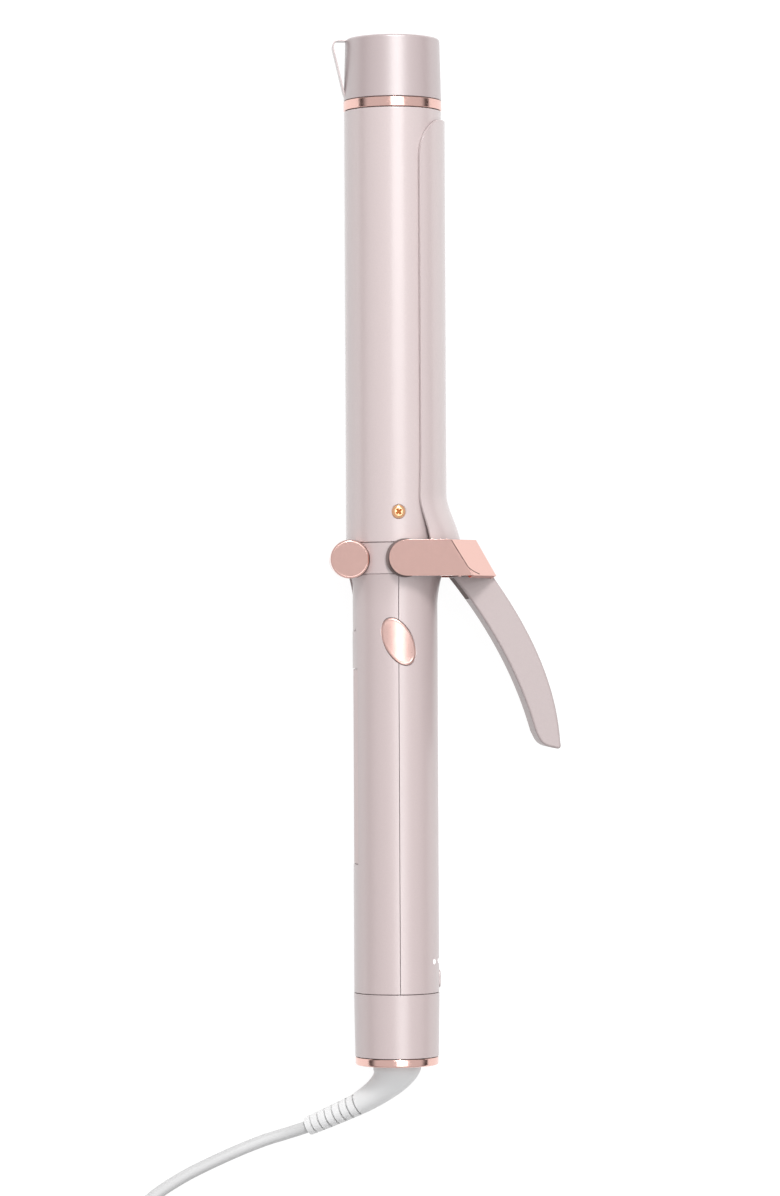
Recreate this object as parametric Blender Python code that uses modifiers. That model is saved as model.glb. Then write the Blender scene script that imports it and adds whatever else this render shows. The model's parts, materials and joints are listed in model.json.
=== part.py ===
"""Curling iron with a spring clamp, a folding stand and a swivelling cord.

The iron lies on its side. Its axis runs along Y at the height AXIS_Z, with the cool tip at +Y, the
clamp and its lever at +X and the stand at -X. The table is Z = 0. Y = 0 is the clamp's hinge line.
Places are given from the iron's axis: x, y and w, where w is the height above the axis.
"""
import math

import bmesh
import bpy
from mathutils import Matrix, Vector

# Driving dimensions, in metres
AXIS_Z = 18.5e-3          # axis above the table: the yoke's lower ear lies on the table
GAP = 0.3e-3              # clearance between neighbouring pieces
ROUND = 40                # sides of the large turned pieces
SMALL_ROUND = 16          # sides of pins, screws and bosses

# Barrel and tip
BARREL_R = 15.875e-3
BARREL_WALL = 1.0e-3
BARREL_Y0 = 5.0e-3
BARREL_Y1 = 146.0e-3
TIP_RING_Y = (146.3e-3, 149.4e-3)
TIP_RING_R = 16.05e-3
TIP_Y = (149.7e-3, 169.8e-3)
TIP_R = (15.95e-3, 15.45e-3)
BARREL_SCREW_Y = 14.7e-3

# Pivot collar, clamp hinge and stand hinge
COLLAR_Y = (-5.3e-3, 4.7e-3)
COLLAR_R = 15.5e-3
BOSS_R = 6.9e-3
HINGE_X = 2.5e-3
EAR_IN = 16.5e-3
EAR_OUT = 18.5e-3
STUD_R = 1.8e-3
STAND_X = -15.75e-3
STAND_Y = -0.6e-3
STAND_AXIS = (STAND_X, STAND_Y, 0.0)
STAND_SLOT = 6.3e-3       # half width of the slot for the leg's hub
STAND_BOSS_W = 8.0e-3
STAND_BOSS_R = 5.2e-3
DISC_R = 6.3e-3
BACK_DISC_R = 4.4e-3       # the disc on the far side is smaller
DISC_OUT = 14.3e-3
AXLE_R = 1.5e-3

# Clamp plate
PLATE_R = 16.2e-3
PLATE_T = 0.9e-3
PLATE_Y1 = 142.7e-3
PLATE_Y0 = -4.6e-3
PLATE_HALF_ANGLE = math.radians(64)
NECK_HALF_ANGLE = math.radians(69)
NECK_LIFT = 4.3e-3        # how far the neck stands out from the barrel under the yoke

# Yoke: its front is slanted, so these have a value at its tip side and one at its handle side
YOKE_Y = (5.6e-3, -6.1e-3)
YOKE_CREASE_X = (16.4e-3, 23.1e-3)
YOKE_FRONT_X = (26.1e-3, 32.7e-3)
YOKE_FRONT_W = 9.0e-3
YOKE_T = 2.0e-3
LEVER_W = 8.0e-3          # half width of the lever
LEVER_SCREW = (-2.4e-3, 4.2e-3)   # y and w of the screws that hold plate and lever together
LINER_W = 6.8e-3
LINER_T = 1.0e-3

# Handle
HANDLE_R = 13.9e-3
HANDLE_TOP_R = 15.5e-3
HANDLE_Y = (-5.6e-3, -141.7e-3)
FLARE_Y = -16.4e-3
HANDLE_WALL = 2.0e-3
SCREW_Y = (-44.0e-3, -78.0e-3)
PLATE_RECESS_Y = (-36.0e-3, -100.0e-3)
LIGHT_Y = -131.6e-3
BUTTON_Y = -137.6e-3
CAP_Y = (-142.0e-3, -162.6e-3)
CAP_R = (14.0e-3, 13.65e-3)
END_RING_Y = (-163.0e-3, -165.5e-3)
END_RING_R = 13.6e-3
NECK_HOLE_R = 8.2e-3

# Cord and its swivelling boot
CORD_R = 2.0e-3
BOOT_DIP = math.radians(25)   # the boot points this far below the horizontal
COIL_CENTRE = (-68.5e-3, -248.4e-3)
COIL_R = 25.0e-3
COIL_PITCH = 4.1e-3
COIL_LAYERS = 4
COIL_Z0 = 0.8e-3
PLUG_BACK = Vector((-27.5e-3, -274.0e-3, 6.2e-3))
PLUG_TURN = math.radians(24)

# The cord's centre line where it isn't coiled, from the boot to the coil and from the coil to the plug
LEAD_ROUTE = [
    (-0.0287, -0.1869, 0.00505),
    (-0.0322, -0.1882, 0.00362),
    (-0.0365, -0.1896, 0.00255),
    (-0.0427, -0.1915, 0.00208),
    (-0.0516, -0.1949, 0.00205),
    (-0.0616, -0.1993, 0.00205),
    (-0.0696, -0.2033, 0.00205),
    (-0.0785, -0.2089, 0.00210),
    (-0.0863, -0.2158, 0.00235),
    (-0.0898, -0.2196, 0.00250),
]
TAIL_ROUTE = [
    (-0.1037, -0.2534, 0.01300),
    (-0.1009, -0.2635, 0.01100),
    (-0.0951, -0.2724, 0.00860),
    (-0.0864, -0.2794, 0.00600),
    (-0.0760, -0.2836, 0.00390),
    (-0.0653, -0.2847, 0.00250),
    (-0.0546, -0.2836, 0.00210),
    (-0.0443, -0.2809, 0.00260),
    (-0.0353, -0.2774, 0.00430),
    (-0.0280, -0.2743, 0.00610),
]


# ---------------------------------------------------------------- tools

def clear_scene():
    """Remove every object that the open file holds."""
    for obj in list(bpy.data.objects):
        bpy.data.objects.remove(obj, do_unlink=True)


def new_collection(name):
    """Add an empty collection to the scene."""
    collection = bpy.data.collections.new(name)
    bpy.context.scene.collection.children.link(collection)
    return collection


def make_material(name, colour, roughness, metallic=0.0):
    """A Principled BSDF material."""
    material = bpy.data.materials.new(name)
    material.use_nodes = True
    shader = material.node_tree.nodes["Principled BSDF"]
    shader.inputs["Base Color"].default_value = (*colour, 1.0)
    shader.inputs["Roughness"].default_value = roughness
    shader.inputs["Metallic"].default_value = metallic
    return material


def at(x, y, w):
    """A point in the world from its place beside the iron's axis."""
    return Vector((x, y, AXIS_Z + w))


def keep(obj, name, material, pivot=None):
    """Name a finished piece, colour it and put it in the object's collection."""
    obj.name = name
    obj.data.name = name
    if material is not None:
        obj.data.materials.clear()
        obj.data.materials.append(material)
    for collection in list(obj.users_collection):
        collection.objects.unlink(obj)
    PARTS.objects.link(obj)
    if pivot is not None:
        obj.parent = pivot
        obj.matrix_parent_inverse = pivot.matrix_world.inverted()
    return obj


def as_cutter(obj, name):
    """Put a shape that only cuts or joins others in the cutters' collection."""
    obj.name = name
    obj.hide_render = True
    obj.display_type = "WIRE"
    for collection in list(obj.users_collection):
        collection.objects.unlink(obj)
    CUTTERS.objects.link(obj)
    return obj


def boolean(target, other, operation="DIFFERENCE"):
    """Cut, join or trim a piece with another shape."""
    modifier = target.modifiers.new(operation.title(), "BOOLEAN")
    modifier.operation = operation
    modifier.solver = "EXACT"
    modifier.object = other
    return target


def mesh_object(name, build):
    """An object whose mesh the function build fills."""
    mesh = bpy.data.meshes.new(name)
    mould = bmesh.new()
    build(mould)
    mould.to_mesh(mesh)
    mould.free()
    obj = bpy.data.objects.new(name, mesh)
    PARTS.objects.link(obj)
    return obj


def box(low, high, bevel=0.0):
    """A box between two corners given beside the iron's axis."""
    bpy.ops.mesh.primitive_cube_add(size=1.0)
    obj = bpy.context.object
    size = [b - a for a, b in zip(low, high)]
    obj.data.transform(Matrix.Diagonal((*size, 1.0)))
    obj.location = at(*[(a + b) / 2 for a, b in zip(low, high)])
    if bevel:
        modifier = obj.modifiers.new("Bevel", "BEVEL")
        modifier.width = bevel
        modifier.segments = 2
    return obj


TURN_TO = {
    "X": Matrix.Rotation(math.radians(90), 4, "Y"),
    "Y": Matrix.Rotation(math.radians(-90), 4, "X"),
    "Z": Matrix.Identity(4),
}


def turned(profile, centre=(0.0, 0.0, 0.0), axis="Y", closed=False, sides=ROUND):
    """Turn a profile of (radius, height) points about an axis through centre."""

    def build(mould):
        points = [mould.verts.new((r, 0.0, h)) for r, h in profile]
        for first, second in zip(points, points[1:]):
            mould.edges.new((first, second))
        if closed:
            mould.edges.new((points[-1], points[0]))

    obj = mesh_object("turned", build)
    obj.matrix_world = Matrix.Translation(at(*centre)) @ TURN_TO[axis]
    screw = obj.modifiers.new("Screw", "SCREW")
    screw.axis = "Z"
    screw.steps = sides
    screw.render_steps = sides
    screw.use_merge_vertices = True
    screw.merge_threshold = 0.00001
    return obj


def cylinder(radius, low, high, centre=(0.0, 0.0, 0.0), axis="Z", sides=SMALL_ROUND):
    """A plain cylinder from low to high along an axis through centre."""
    bpy.ops.mesh.primitive_cylinder_add(vertices=sides, radius=radius, depth=high - low)
    obj = bpy.context.object
    obj.data.transform(Matrix.Translation((0.0, 0.0, (low + high) / 2)))
    obj.matrix_world = Matrix.Translation(at(*centre)) @ TURN_TO[axis]
    return obj


def ring(outer, inner, low, high, centre=(0.0, 0.0, 0.0), axis="Y", sides=ROUND):
    """A plain ring from low to high along an axis."""
    profile = [(outer, high), (outer, low), (inner, low), (inner, high)]
    return turned(profile, centre, axis, closed=True, sides=sides)


def pin(head_r, head_h, shank_r, length, centre, axis, flip=False):
    """A headed pin whose head's top is at centre and whose shank runs back along the axis."""
    profile = [(0.0, 0.0), (head_r * 0.8, 0.0), (head_r, -0.35 * head_h), (head_r, -head_h),
               (shank_r, -head_h), (shank_r, -length), (0.0, -length)]
    obj = turned(profile, centre, axis, sides=SMALL_ROUND)
    if flip:
        obj.matrix_world = obj.matrix_world @ Matrix.Rotation(math.pi, 4, "X")
    return obj


def sheet(rows, thickness, side=-1.0):
    """A sheet through rows of points, thickened to one side of them."""

    def build(mould):
        grid = [[mould.verts.new(point) for point in row] for row in rows]
        for row, following in zip(grid, grid[1:]):
            for a, b, c, d in zip(row, row[1:], following[1:], following):
                mould.faces.new((a, b, c, d))

    obj = mesh_object("sheet", build)
    solidify = obj.modifiers.new("Solidify", "SOLIDIFY")
    solidify.thickness = thickness
    solidify.offset = side
    solidify.use_even_offset = True
    return obj


def flat_outline(points, w_low, w_high, bevel=0.0):
    """A flat shape from an outline of (x, y) points, with its edges rounded by bevel."""
    curve = bpy.data.curves.new("outline", "CURVE")
    curve.dimensions = "2D"
    curve.fill_mode = "BOTH"
    curve.extrude = (w_high - w_low) / 2 - bevel
    curve.bevel_depth = bevel
    curve.bevel_resolution = 1
    curve.offset = -bevel
    spline = curve.splines.new("POLY")
    spline.points.add(len(points) - 1)
    for point, (x, y) in zip(spline.points, points):
        point.co = (x, y, 0.0, 1.0)
    spline.use_cyclic_u = True
    obj = bpy.data.objects.new("outline", curve)
    PARTS.objects.link(obj)
    obj.location = at(0.0, 0.0, (w_low + w_high) / 2)
    return obj


def wire(points, radius, sides_step=2):
    """A round wire through world points."""
    curve = bpy.data.curves.new("wire", "CURVE")
    curve.dimensions = "3D"
    curve.bevel_depth = radius
    curve.bevel_resolution = sides_step
    curve.use_fill_caps = True
    spline = curve.splines.new("POLY")
    spline.points.add(len(points) - 1)
    for point, place in zip(spline.points, points):
        point.co = (*place, 1.0)
    obj = bpy.data.objects.new("wire", curve)
    PARTS.objects.link(obj)
    return obj


def meshed(obj):
    """Make a curve a mesh with welded caps, in the same place."""
    bpy.context.view_layer.update()
    graph = bpy.context.evaluated_depsgraph_get()
    mesh = bpy.data.meshes.new_from_object(obj.evaluated_get(graph))
    mould = bmesh.new()
    mould.from_mesh(mesh)
    bmesh.ops.remove_doubles(mould, verts=mould.verts, dist=0.000001)
    mould.to_mesh(mesh)
    mould.free()
    solid = bpy.data.objects.new(obj.name, mesh)
    PARTS.objects.link(solid)
    solid.matrix_world = obj.matrix_world
    bpy.data.objects.remove(obj, do_unlink=True)
    return solid


def smooth_path(points, spacing):
    """Points a steady distance apart on a smooth curve through the given points."""
    knots = [Vector(point) for point in points]
    knots = [2 * knots[0] - knots[1]] + knots + [2 * knots[-1] - knots[-2]]
    fine = []
    for a, b, c, d in zip(knots, knots[1:], knots[2:], knots[3:]):
        for step in range(16):
            t = step / 16
            fine.append(0.5 * (2 * b + (c - a) * t + (2 * a - 5 * b + 4 * c - d) * t ** 2
                               + (3 * b - a - 3 * c + d) * t ** 3))
    fine.append(knots[-2])
    total = sum((b - a).length for a, b in zip(fine, fine[1:]))
    count = max(2, round(total / spacing))
    path, walked, target = [fine[0]], 0.0, total / count
    for a, b in zip(fine, fine[1:]):
        reach = (b - a).length
        while walked + reach >= target - 1e-9 and len(path) < count:
            path.append(a.lerp(b, (target - walked) / reach))
            target += total / count
        walked += reach
    path.append(fine[-1])
    return path


def bezier(start, control, end, count):
    """Points on a quadratic curve, both ends among them."""
    points = []
    for step in range(count + 1):
        t = step / count
        points.append(tuple((1 - t) ** 2 * a + 2 * t * (1 - t) * b + t ** 2 * c
                            for a, b, c in zip(start, control, end)))
    return points


def arc(cx, cy, radius, start, end, count):
    """Points on an arc, with its angles in degrees."""
    points = []
    for step in range(count + 1):
        angle = math.radians(start + (end - start) * step / count)
        points.append((cx + radius * math.cos(angle), cy + radius * math.sin(angle)))
    return points


def empty_at(name, place):
    """An empty on a joint's axis, which the moving pieces hang from."""
    obj = bpy.data.objects.new(name, None)
    obj.empty_display_size = 0.01
    PARTS.objects.link(obj)
    obj.location = place
    bpy.context.view_layer.update()
    return obj


# ---------------------------------------------------------------- barrel and tip

def make_barrel():
    """The heated tube, notched where the collar's bosses reach over its end."""
    tube = ring(BARREL_R, BARREL_R - BARREL_WALL, BARREL_Y0, BARREL_Y1)
    boolean(tube, HINGE_NOTCH)
    boolean(tube, STAND_NOTCH)
    boolean(tube, DISC_ROOM)
    hole = cylinder(1.5e-3, -0.02, 0.02, (0.0, BARREL_SCREW_Y, 0.0))
    boolean(tube, as_cutter(hole, "barrel_screw_hole"))
    keep(tube, "barrel_tube", PEARL)


def make_barrel_screws():
    """A screw on each side holds the tube on the heater carrier."""
    for name, side in (("barrel_screw_front", 1), ("barrel_screw_back", -1)):
        top = side * (BARREL_R + 1.0e-3)
        screw = pin(2.3e-3, 0.9e-3, 1.1e-3, 5.0e-3, (0.0, BARREL_SCREW_Y, top), "Z", side < 0)
        keep(screw, name, COPPER)


def make_heater():
    """The heater lies between two blocks that carry its heat to the tube."""
    block_r = BARREL_R - BARREL_WALL - GAP
    for name, side in (("heater_block_front", 1), ("heater_block_back", -1)):
        block = cylinder(block_r, 26.0e-3, 134.0e-3, axis="Y", sides=24)
        if side > 0:
            cutter = box((-0.02, 0.02, -0.03), (0.02, 0.14, 1.7e-3))
        else:
            cutter = box((-0.02, 0.02, -1.7e-3), (0.02, 0.14, 0.03))
        boolean(block, as_cutter(cutter, name + "_half"))
        groove = cylinder(2.6e-3, 0.02, 0.14, (0.0, 0.0, side * 9.0e-3), "Y")
        boolean(block, as_cutter(groove, name + "_groove"))
        keep(block, name, ALUMINIUM)
    keep(box((-9.0e-3, 34.0e-3, -1.3e-3), (9.0e-3, 126.0e-3, 1.3e-3), 0.2e-3),
         "ceramic_heater", CERAMIC)
    keep(cylinder(1.6e-3, 70.0e-3, 76.0e-3, (0.0, 0.0, 9.0e-3), "Y"), "temperature_sensor", GLASS)
    keep(cylinder(1.9e-3, 40.0e-3, 52.0e-3, (0.0, 0.0, -9.0e-3), "Y"), "thermal_fuse", STEEL)


def make_heater_carrier():
    """The insulating plug that stands on the collar and holds the tube and the heater."""
    outer = BARREL_R - BARREL_WALL - GAP
    plug = turned([(outer, 25.5e-3), (outer, 8.0e-3), (6.0e-3, 8.0e-3), (6.0e-3, 25.5e-3)],
                  closed=True, sides=24)
    hole = cylinder(1.5e-3, -0.02, 0.02, (0.0, BARREL_SCREW_Y, 0.0))
    boolean(plug, as_cutter(hole, "carrier_screw_hole"))
    keep(plug, "heater_carrier", CERAMIC)


def make_tip():
    """Cool tip, its metal ring, and the spigot and screw that hold both."""
    ring_low, ring_high = TIP_RING_Y
    keep(ring(TIP_RING_R, 11.0e-3, ring_low, ring_high), "tip_ring", ROSE_GOLD)
    low, high = TIP_Y
    base_r, end_r = TIP_R
    edge = 1.0e-3
    profile = [(0.0, high), (end_r - edge, high), (end_r - 0.3 * edge, high - 0.3 * edge),
               (end_r, high - edge), (base_r, low), (13.2e-3, low), (13.2e-3, high - 2.2e-3),
               (0.0, high - 2.2e-3)]
    keep(turned(profile), "cool_tip", PEARL)
    shank, flange = 10.6e-3, BARREL_R - BARREL_WALL - GAP
    spigot = turned([(0.0, 158.0e-3), (shank, 158.0e-3), (shank, ring_low - GAP),
                     (flange, ring_low - GAP), (flange, 136.0e-3), (0.0, 136.0e-3)])
    hole = cylinder(1.7e-3, 145.0e-3, 160.0e-3, axis="Y")
    boolean(spigot, as_cutter(hole, "tip_screw_hole"))
    keep(spigot, "tip_insulator", DARK_PLASTIC)
    keep(pin(3.2e-3, 1.6e-3, 1.3e-3, 13.0e-3, (0.0, 160.2e-3, 0.0), "Y"), "tip_screw", STEEL)


def make_tip_rest():
    """The thin loop behind the cool tip, closed by a thin web."""
    outline = [(-16.35e-3, 149.8e-3), (-16.35e-3, 168.9e-3), (-18.6e-3, 169.3e-3),
               (-19.6e-3, 168.8e-3), (-19.9e-3, 167.4e-3), (-16.9e-3, 149.8e-3)]
    rim = meshed(flat_outline(outline, -2.4e-3, 2.4e-3))
    pocket = [(-17.0e-3, 155.5e-3), (-17.0e-3, 168.2e-3), (-18.4e-3, 168.5e-3),
              (-19.0e-3, 168.0e-3), (-19.1e-3, 167.0e-3)]
    for name, low, high in (("rest_pocket_front", 0.5e-3, 6.0e-3), ("rest_pocket_back", -6.0e-3, -0.5e-3)):
        boolean(rim, as_cutter(meshed(flat_outline(pocket, low, high)), name))
    keep(rim, "tip_rest", PEARL)


# ---------------------------------------------------------------- collar and stand

def make_collar():
    """The block between barrel and handle, which carries the clamp's and the stand's hinges."""
    low, high = COLLAR_Y
    edge = 0.5e-3
    collar = turned([(0.0, high), (COLLAR_R - edge, high), (COLLAR_R, high - edge),
                     (COLLAR_R, low + edge), (COLLAR_R - edge, low), (0.0, low)])
    for name, side in (("hinge_boss_front", 1), ("hinge_boss_back", -1)):
        ends = sorted((side * 9.0e-3, side * (EAR_IN - GAP)))
        boss = cylinder(BOSS_R, *ends, (HINGE_X, 0.0, 0.0), sides=24)
        boolean(collar, as_cutter(boss, name), "UNION")
    boss = cylinder(STAND_BOSS_R, -STAND_BOSS_W, STAND_BOSS_W, STAND_AXIS, sides=24)
    boolean(collar, as_cutter(boss, "stand_boss"), "UNION")
    boolean(collar, DISC_ROOM)
    boolean(collar, BACK_DISC_ROOM)
    slot = cylinder(4.6e-3, -STAND_SLOT, STAND_SLOT, STAND_AXIS)
    boolean(collar, as_cutter(slot, "hub_slot"))
    mouth = box((-0.03, -0.01, -STAND_SLOT), (STAND_X, 0.01, STAND_SLOT))
    boolean(collar, as_cutter(mouth, "hub_mouth"))
    leg_room = box((-0.03, -0.01, -4.4e-3), (-11.2e-3, 0.0, 4.4e-3))
    boolean(collar, as_cutter(leg_room, "leg_slot"))
    axle_hole = cylinder(AXLE_R + GAP, -0.012, 0.012, STAND_AXIS)
    boolean(collar, as_cutter(axle_hole, "axle_hole"))
    stud_hole = cylinder(STUD_R + GAP, -0.02, 0.02, (HINGE_X, 0.0, 0.0))
    boolean(collar, as_cutter(stud_hole, "stud_hole"))
    spring_room = cylinder(4.6e-3, -8.6e-3, 8.6e-3, (HINGE_X, 0.0, 0.0))
    boolean(collar, as_cutter(spring_room, "spring_room"))
    lead_hole = cylinder(2.6e-3, -0.01, 0.01, (-6.4e-3, 0.0, 0.0), "Y")
    boolean(collar, as_cutter(lead_hole, "lead_hole"))
    keep(collar, "pivot_collar", PEARL)


def make_hinge_studs():
    """The studs that the yoke's ears turn on, and the spring that shuts the clamp."""
    for name, side in (("hinge_stud_front", 1), ("hinge_stud_back", -1)):
        ends = sorted((side * 9.2e-3, side * 17.5e-3))
        keep(cylinder(STUD_R, *ends, (HINGE_X, 0.0, 0.0)), name, STEEL)
    turns, per_turn, wire_r, coil_r, half = 5, 10, 0.6e-3, 3.4e-3, 7.0e-3
    points = []
    for step in range(turns * per_turn + 1):
        angle = math.tau * step / per_turn
        height = -half + 2 * half * step / (turns * per_turn)
        points.append(at(HINGE_X + coil_r * math.cos(angle), coil_r * math.sin(angle), height))
    keep(wire(points, wire_r, 1), "clamp_spring", STEEL)


def make_stand(pivot):
    """The folding stand: leg, axle and a disc at each end of the axle."""
    hub = cylinder(4.2e-3, -STAND_SLOT + GAP, STAND_SLOT - GAP, STAND_AXIS)
    foot = [(-13.3e-3, -1.0e-3)]
    foot += arc(-12.45e-3, -22.9e-3, 0.85e-3, 180, 360, 6)
    foot += [(-11.6e-3, -1.0e-3)]
    plate = as_cutter(meshed(flat_outline(foot, -4.0e-3, 4.0e-3)), "leg_plate")
    boolean(hub, plate, "UNION")
    hole = cylinder(AXLE_R + GAP, -0.01, 0.01, STAND_AXIS)
    boolean(hub, as_cutter(hole, "hub_hole"))
    keep(hub, "stand_leg", PEARL, pivot)
    axle = cylinder(AXLE_R, -11.0e-3, 11.0e-3, STAND_AXIS)
    keep(axle, "stand_axle", STEEL, pivot)
    inner, edge = STAND_BOSS_W + GAP, 0.5e-3
    for name, side, radius in (("stand_disc_front", 1, DISC_R), ("stand_disc_back", -1, BACK_DISC_R)):
        thick = DISC_OUT - inner
        profile = [(0.0, thick), (radius - edge, thick), (radius, thick - edge), (radius, 0.0),
                   (AXLE_R + GAP, 0.0), (AXLE_R + GAP, 3.2e-3), (0.0, 3.2e-3)]
        disc = turned(profile, (STAND_X, STAND_Y, side * inner), "Z", sides=24)
        if side < 0:
            disc.matrix_world = disc.matrix_world @ Matrix.Rotation(math.pi, 4, "X")
        keep(disc, name, ROSE_GOLD, pivot)


# ---------------------------------------------------------------- clamp

def plate_half_angle(y):
    """Half of the arc that the clamp plate spans at y: rounded at its tip, wider at its neck."""
    corner = 12.8e-3
    from_tip = PLATE_Y1 - y
    if from_tip < corner:
        share = math.sqrt(max(0.0, 1 - (1 - from_tip / corner) ** 2))
        return PLATE_HALF_ANGLE * (0.42 + 0.58 * share)
    if y > 35.0e-3:
        return PLATE_HALF_ANGLE
    share = min(1.0, (35.0e-3 - y) / 28.0e-3)
    return PLATE_HALF_ANGLE + (NECK_HALF_ANGLE - PLATE_HALF_ANGLE) * share ** 2


def plate_lift(y):
    """How far the plate is bent away from the barrel at y."""
    share = min(1.0, max(0.0, (21.0e-3 - y) / 17.5e-3))
    return NECK_LIFT * share ** 2 * (3 - 2 * share) * 1.06


def make_clamp_plate(pivot):
    """The curved plate that presses the hair on the barrel."""
    stations = [PLATE_Y1 - d for d in (0.0, 0.35e-3, 1.3e-3, 3.3e-3, 7.0e-3, 12.8e-3)]
    stations += [0.095, 0.06, 0.035, 0.028, 0.021, 0.018, 0.0155, 0.013, 0.0105, 0.008,
                 0.0055, 0.003, 0.0, PLATE_Y0]
    rows = []
    for y in stations:
        half, lift = plate_half_angle(y), plate_lift(y)
        row = []
        for step in range(13):
            angle = half * (step / 6 - 1)
            row.append(at(PLATE_R * math.cos(angle) + lift, y, PLATE_R * math.sin(angle)))
        rows.append(row)
    plate = sheet(rows, PLATE_T, 1.0)
    boolean(plate, LEVER_HOLES[0])
    boolean(plate, LEVER_HOLES[1])
    keep(plate, "clamp_plate", PEARL, pivot)


def yoke_section(share):
    """The yoke's outer surface at a share of the way from its tip side to its handle side."""
    y = YOKE_Y[0] + (YOKE_Y[1] - YOKE_Y[0]) * share
    crease = YOKE_CREASE_X[0] + (YOKE_CREASE_X[1] - YOKE_CREASE_X[0]) * share
    front = YOKE_FRONT_X[0] + (YOKE_FRONT_X[1] - YOKE_FRONT_X[0]) * share
    middle, half = (YOKE_Y[0] + YOKE_Y[1]) / 2, (YOKE_Y[0] - YOKE_Y[1]) / 2
    start = HINGE_X - math.sqrt(max(0.0, half ** 2 - (y - middle) ** 2))
    side = [(start, EAR_OUT), (crease, EAR_OUT), (front - 0.6e-3, YOKE_FRONT_W + 0.4e-3)]
    half_path = side + [(front, YOKE_FRONT_W - 0.8e-3), (front, 0.0)]
    mirrored = [(x, -w) for x, w in reversed(half_path[:-1])]
    return [at(x, y, w) for x, w in half_path + mirrored]


def make_yoke(pivot):
    """The bent metal strap whose ears turn on the collar's studs."""
    count = 10
    shares = [(1 - math.cos(math.pi * step / count)) / 2 for step in range(count + 1)]
    yoke = sheet([yoke_section(share) for share in shares], YOKE_T, 1.0)
    for name, side in (("ear_hole_front", 1), ("ear_hole_back", -1)):
        ends = sorted((side * (EAR_IN - 1.0e-3), side * 17.8e-3))
        boolean(yoke, as_cutter(cylinder(STUD_R + GAP, *ends, (HINGE_X, 0.0, 0.0)), name))
    keep(yoke, "clamp_yoke", ROSE_GOLD, pivot)


def lever_inner_edge(count):
    """The lever's edge that faces the handle, from its end to its root."""
    return bezier((45.2e-3, -57.0e-3), (38.0e-3, -31.0e-3), (18.7e-3, -7.4e-3), count)


def liner_outline(low, high, extra):
    """A strip along the root of the lever's inner edge, between two depths below that edge."""
    start, end = Vector((19.3e-3, -8.2e-3)), Vector((23.2e-3, -13.4e-3))
    along = (end - start).normalized()
    inward = Vector((-along.y, along.x))
    start, end = start - along * extra, end + along * extra
    return [tuple(start + inward * low), tuple(end + inward * low),
            tuple(end + inward * high), tuple(start + inward * high)]


def make_lever(pivot):
    """The thumb lever, whose root lies between the yoke's front and the clamp plate's neck."""
    root_top = [(22.2e-3, 5.2e-3), (23.2e-3, 5.2e-3)]
    root_out = [(29.8e-3, -7.4e-3), (32.4e-3, -7.4e-3)]
    outer = bezier((32.9e-3, -8.4e-3), (51.8e-3, -35.4e-3), (53.2e-3, -59.6e-3), 10)
    end = [(53.1e-3, -61.4e-3), (51.8e-3, -62.5e-3), (49.6e-3, -61.9e-3), (46.9e-3, -60.5e-3)]
    points = root_top + root_out + outer + end + lever_inner_edge(9) + [(22.2e-3, -5.4e-3)]
    lever = meshed(flat_outline(points, -LEVER_W, LEVER_W, 0.4e-3))
    strip = liner_outline(-1.0e-3, LINER_T + GAP, 0.6e-3)
    seat = meshed(flat_outline(strip, -LINER_W - GAP, LINER_W + GAP))
    boolean(lever, as_cutter(seat, "liner_seat"))
    boolean(lever, LEVER_HOLES[0])
    boolean(lever, LEVER_HOLES[1])
    keep(lever, "clamp_lever", PEARL, pivot)


def make_lever_fixings(pivot):
    """The steel strip let into the lever's inner face and the screws through plate and lever."""
    strip = flat_outline(liner_outline(0.1e-3, LINER_T, 0.0), -LINER_W, LINER_W)
    keep(strip, "lever_liner", DARK_STEEL, pivot)
    y, w = LEVER_SCREW
    for name, side in (("lever_screw_front", 1), ("lever_screw_back", -1)):
        screw = pin(1.6e-3, 0.7e-3, 1.0e-3, 7.6e-3, (18.2e-3, y, side * w), "X", True)
        keep(screw, name, STEEL, pivot)


# ---------------------------------------------------------------- handle

def handle_radius(y):
    """The handle's outer radius, which flares towards the collar."""
    share = min(1.0, max(0.0, (HANDLE_Y[0] - y) / (HANDLE_Y[0] - FLARE_Y)))
    return HANDLE_R + (HANDLE_TOP_R - HANDLE_R) * (1 - share) ** 2


def handle_profile():
    """The section of the handle's wall."""
    low = HANDLE_Y[1]
    flare = [HANDLE_Y[0] + (FLARE_Y - HANDLE_Y[0]) * step / 6 for step in range(7)]
    outer = [(handle_radius(y), y) for y in flare] + [(HANDLE_R, low)]
    inner_r = HANDLE_R - HANDLE_WALL
    return outer + [(inner_r, low), (inner_r, FLARE_Y), (HANDLE_TOP_R - HANDLE_WALL, HANDLE_Y[0])]


def half_shell(side):
    """One of the two shells that make the handle, with its screw posts."""
    shell = turned(handle_profile(), closed=True)
    edge = side * GAP / 2
    low, high = sorted((edge, -side * 0.02))
    away = box((low, -0.15, -0.02), (high, 0.0, 0.02))
    for index, y in enumerate(SCREW_Y):
        ends = sorted((side * GAP, side * (HANDLE_R - 1.2e-3)))
        post = cylinder(3.4e-3, *ends, (0.0, y, 0.0), "X")
        boolean(shell, as_cutter(post, f"post_{side}_{index}"), "UNION")
    boolean(shell, as_cutter(away, f"shell_half_{side}"))
    boolean(shell, HINGE_NOTCH)
    return shell


def curved_block(radius, thickness, y_range, middle, half_angle):
    """A piece of a tube's wall about the iron's axis, from radius outward."""
    rows = []
    for y in y_range:
        row = []
        for step in range(9):
            angle = middle + half_angle * (step / 4 - 1)
            row.append(at(radius * math.cos(angle), y, radius * math.sin(angle)))
        rows.append(row)
    return sheet(rows, thickness, -1.0)


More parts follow.
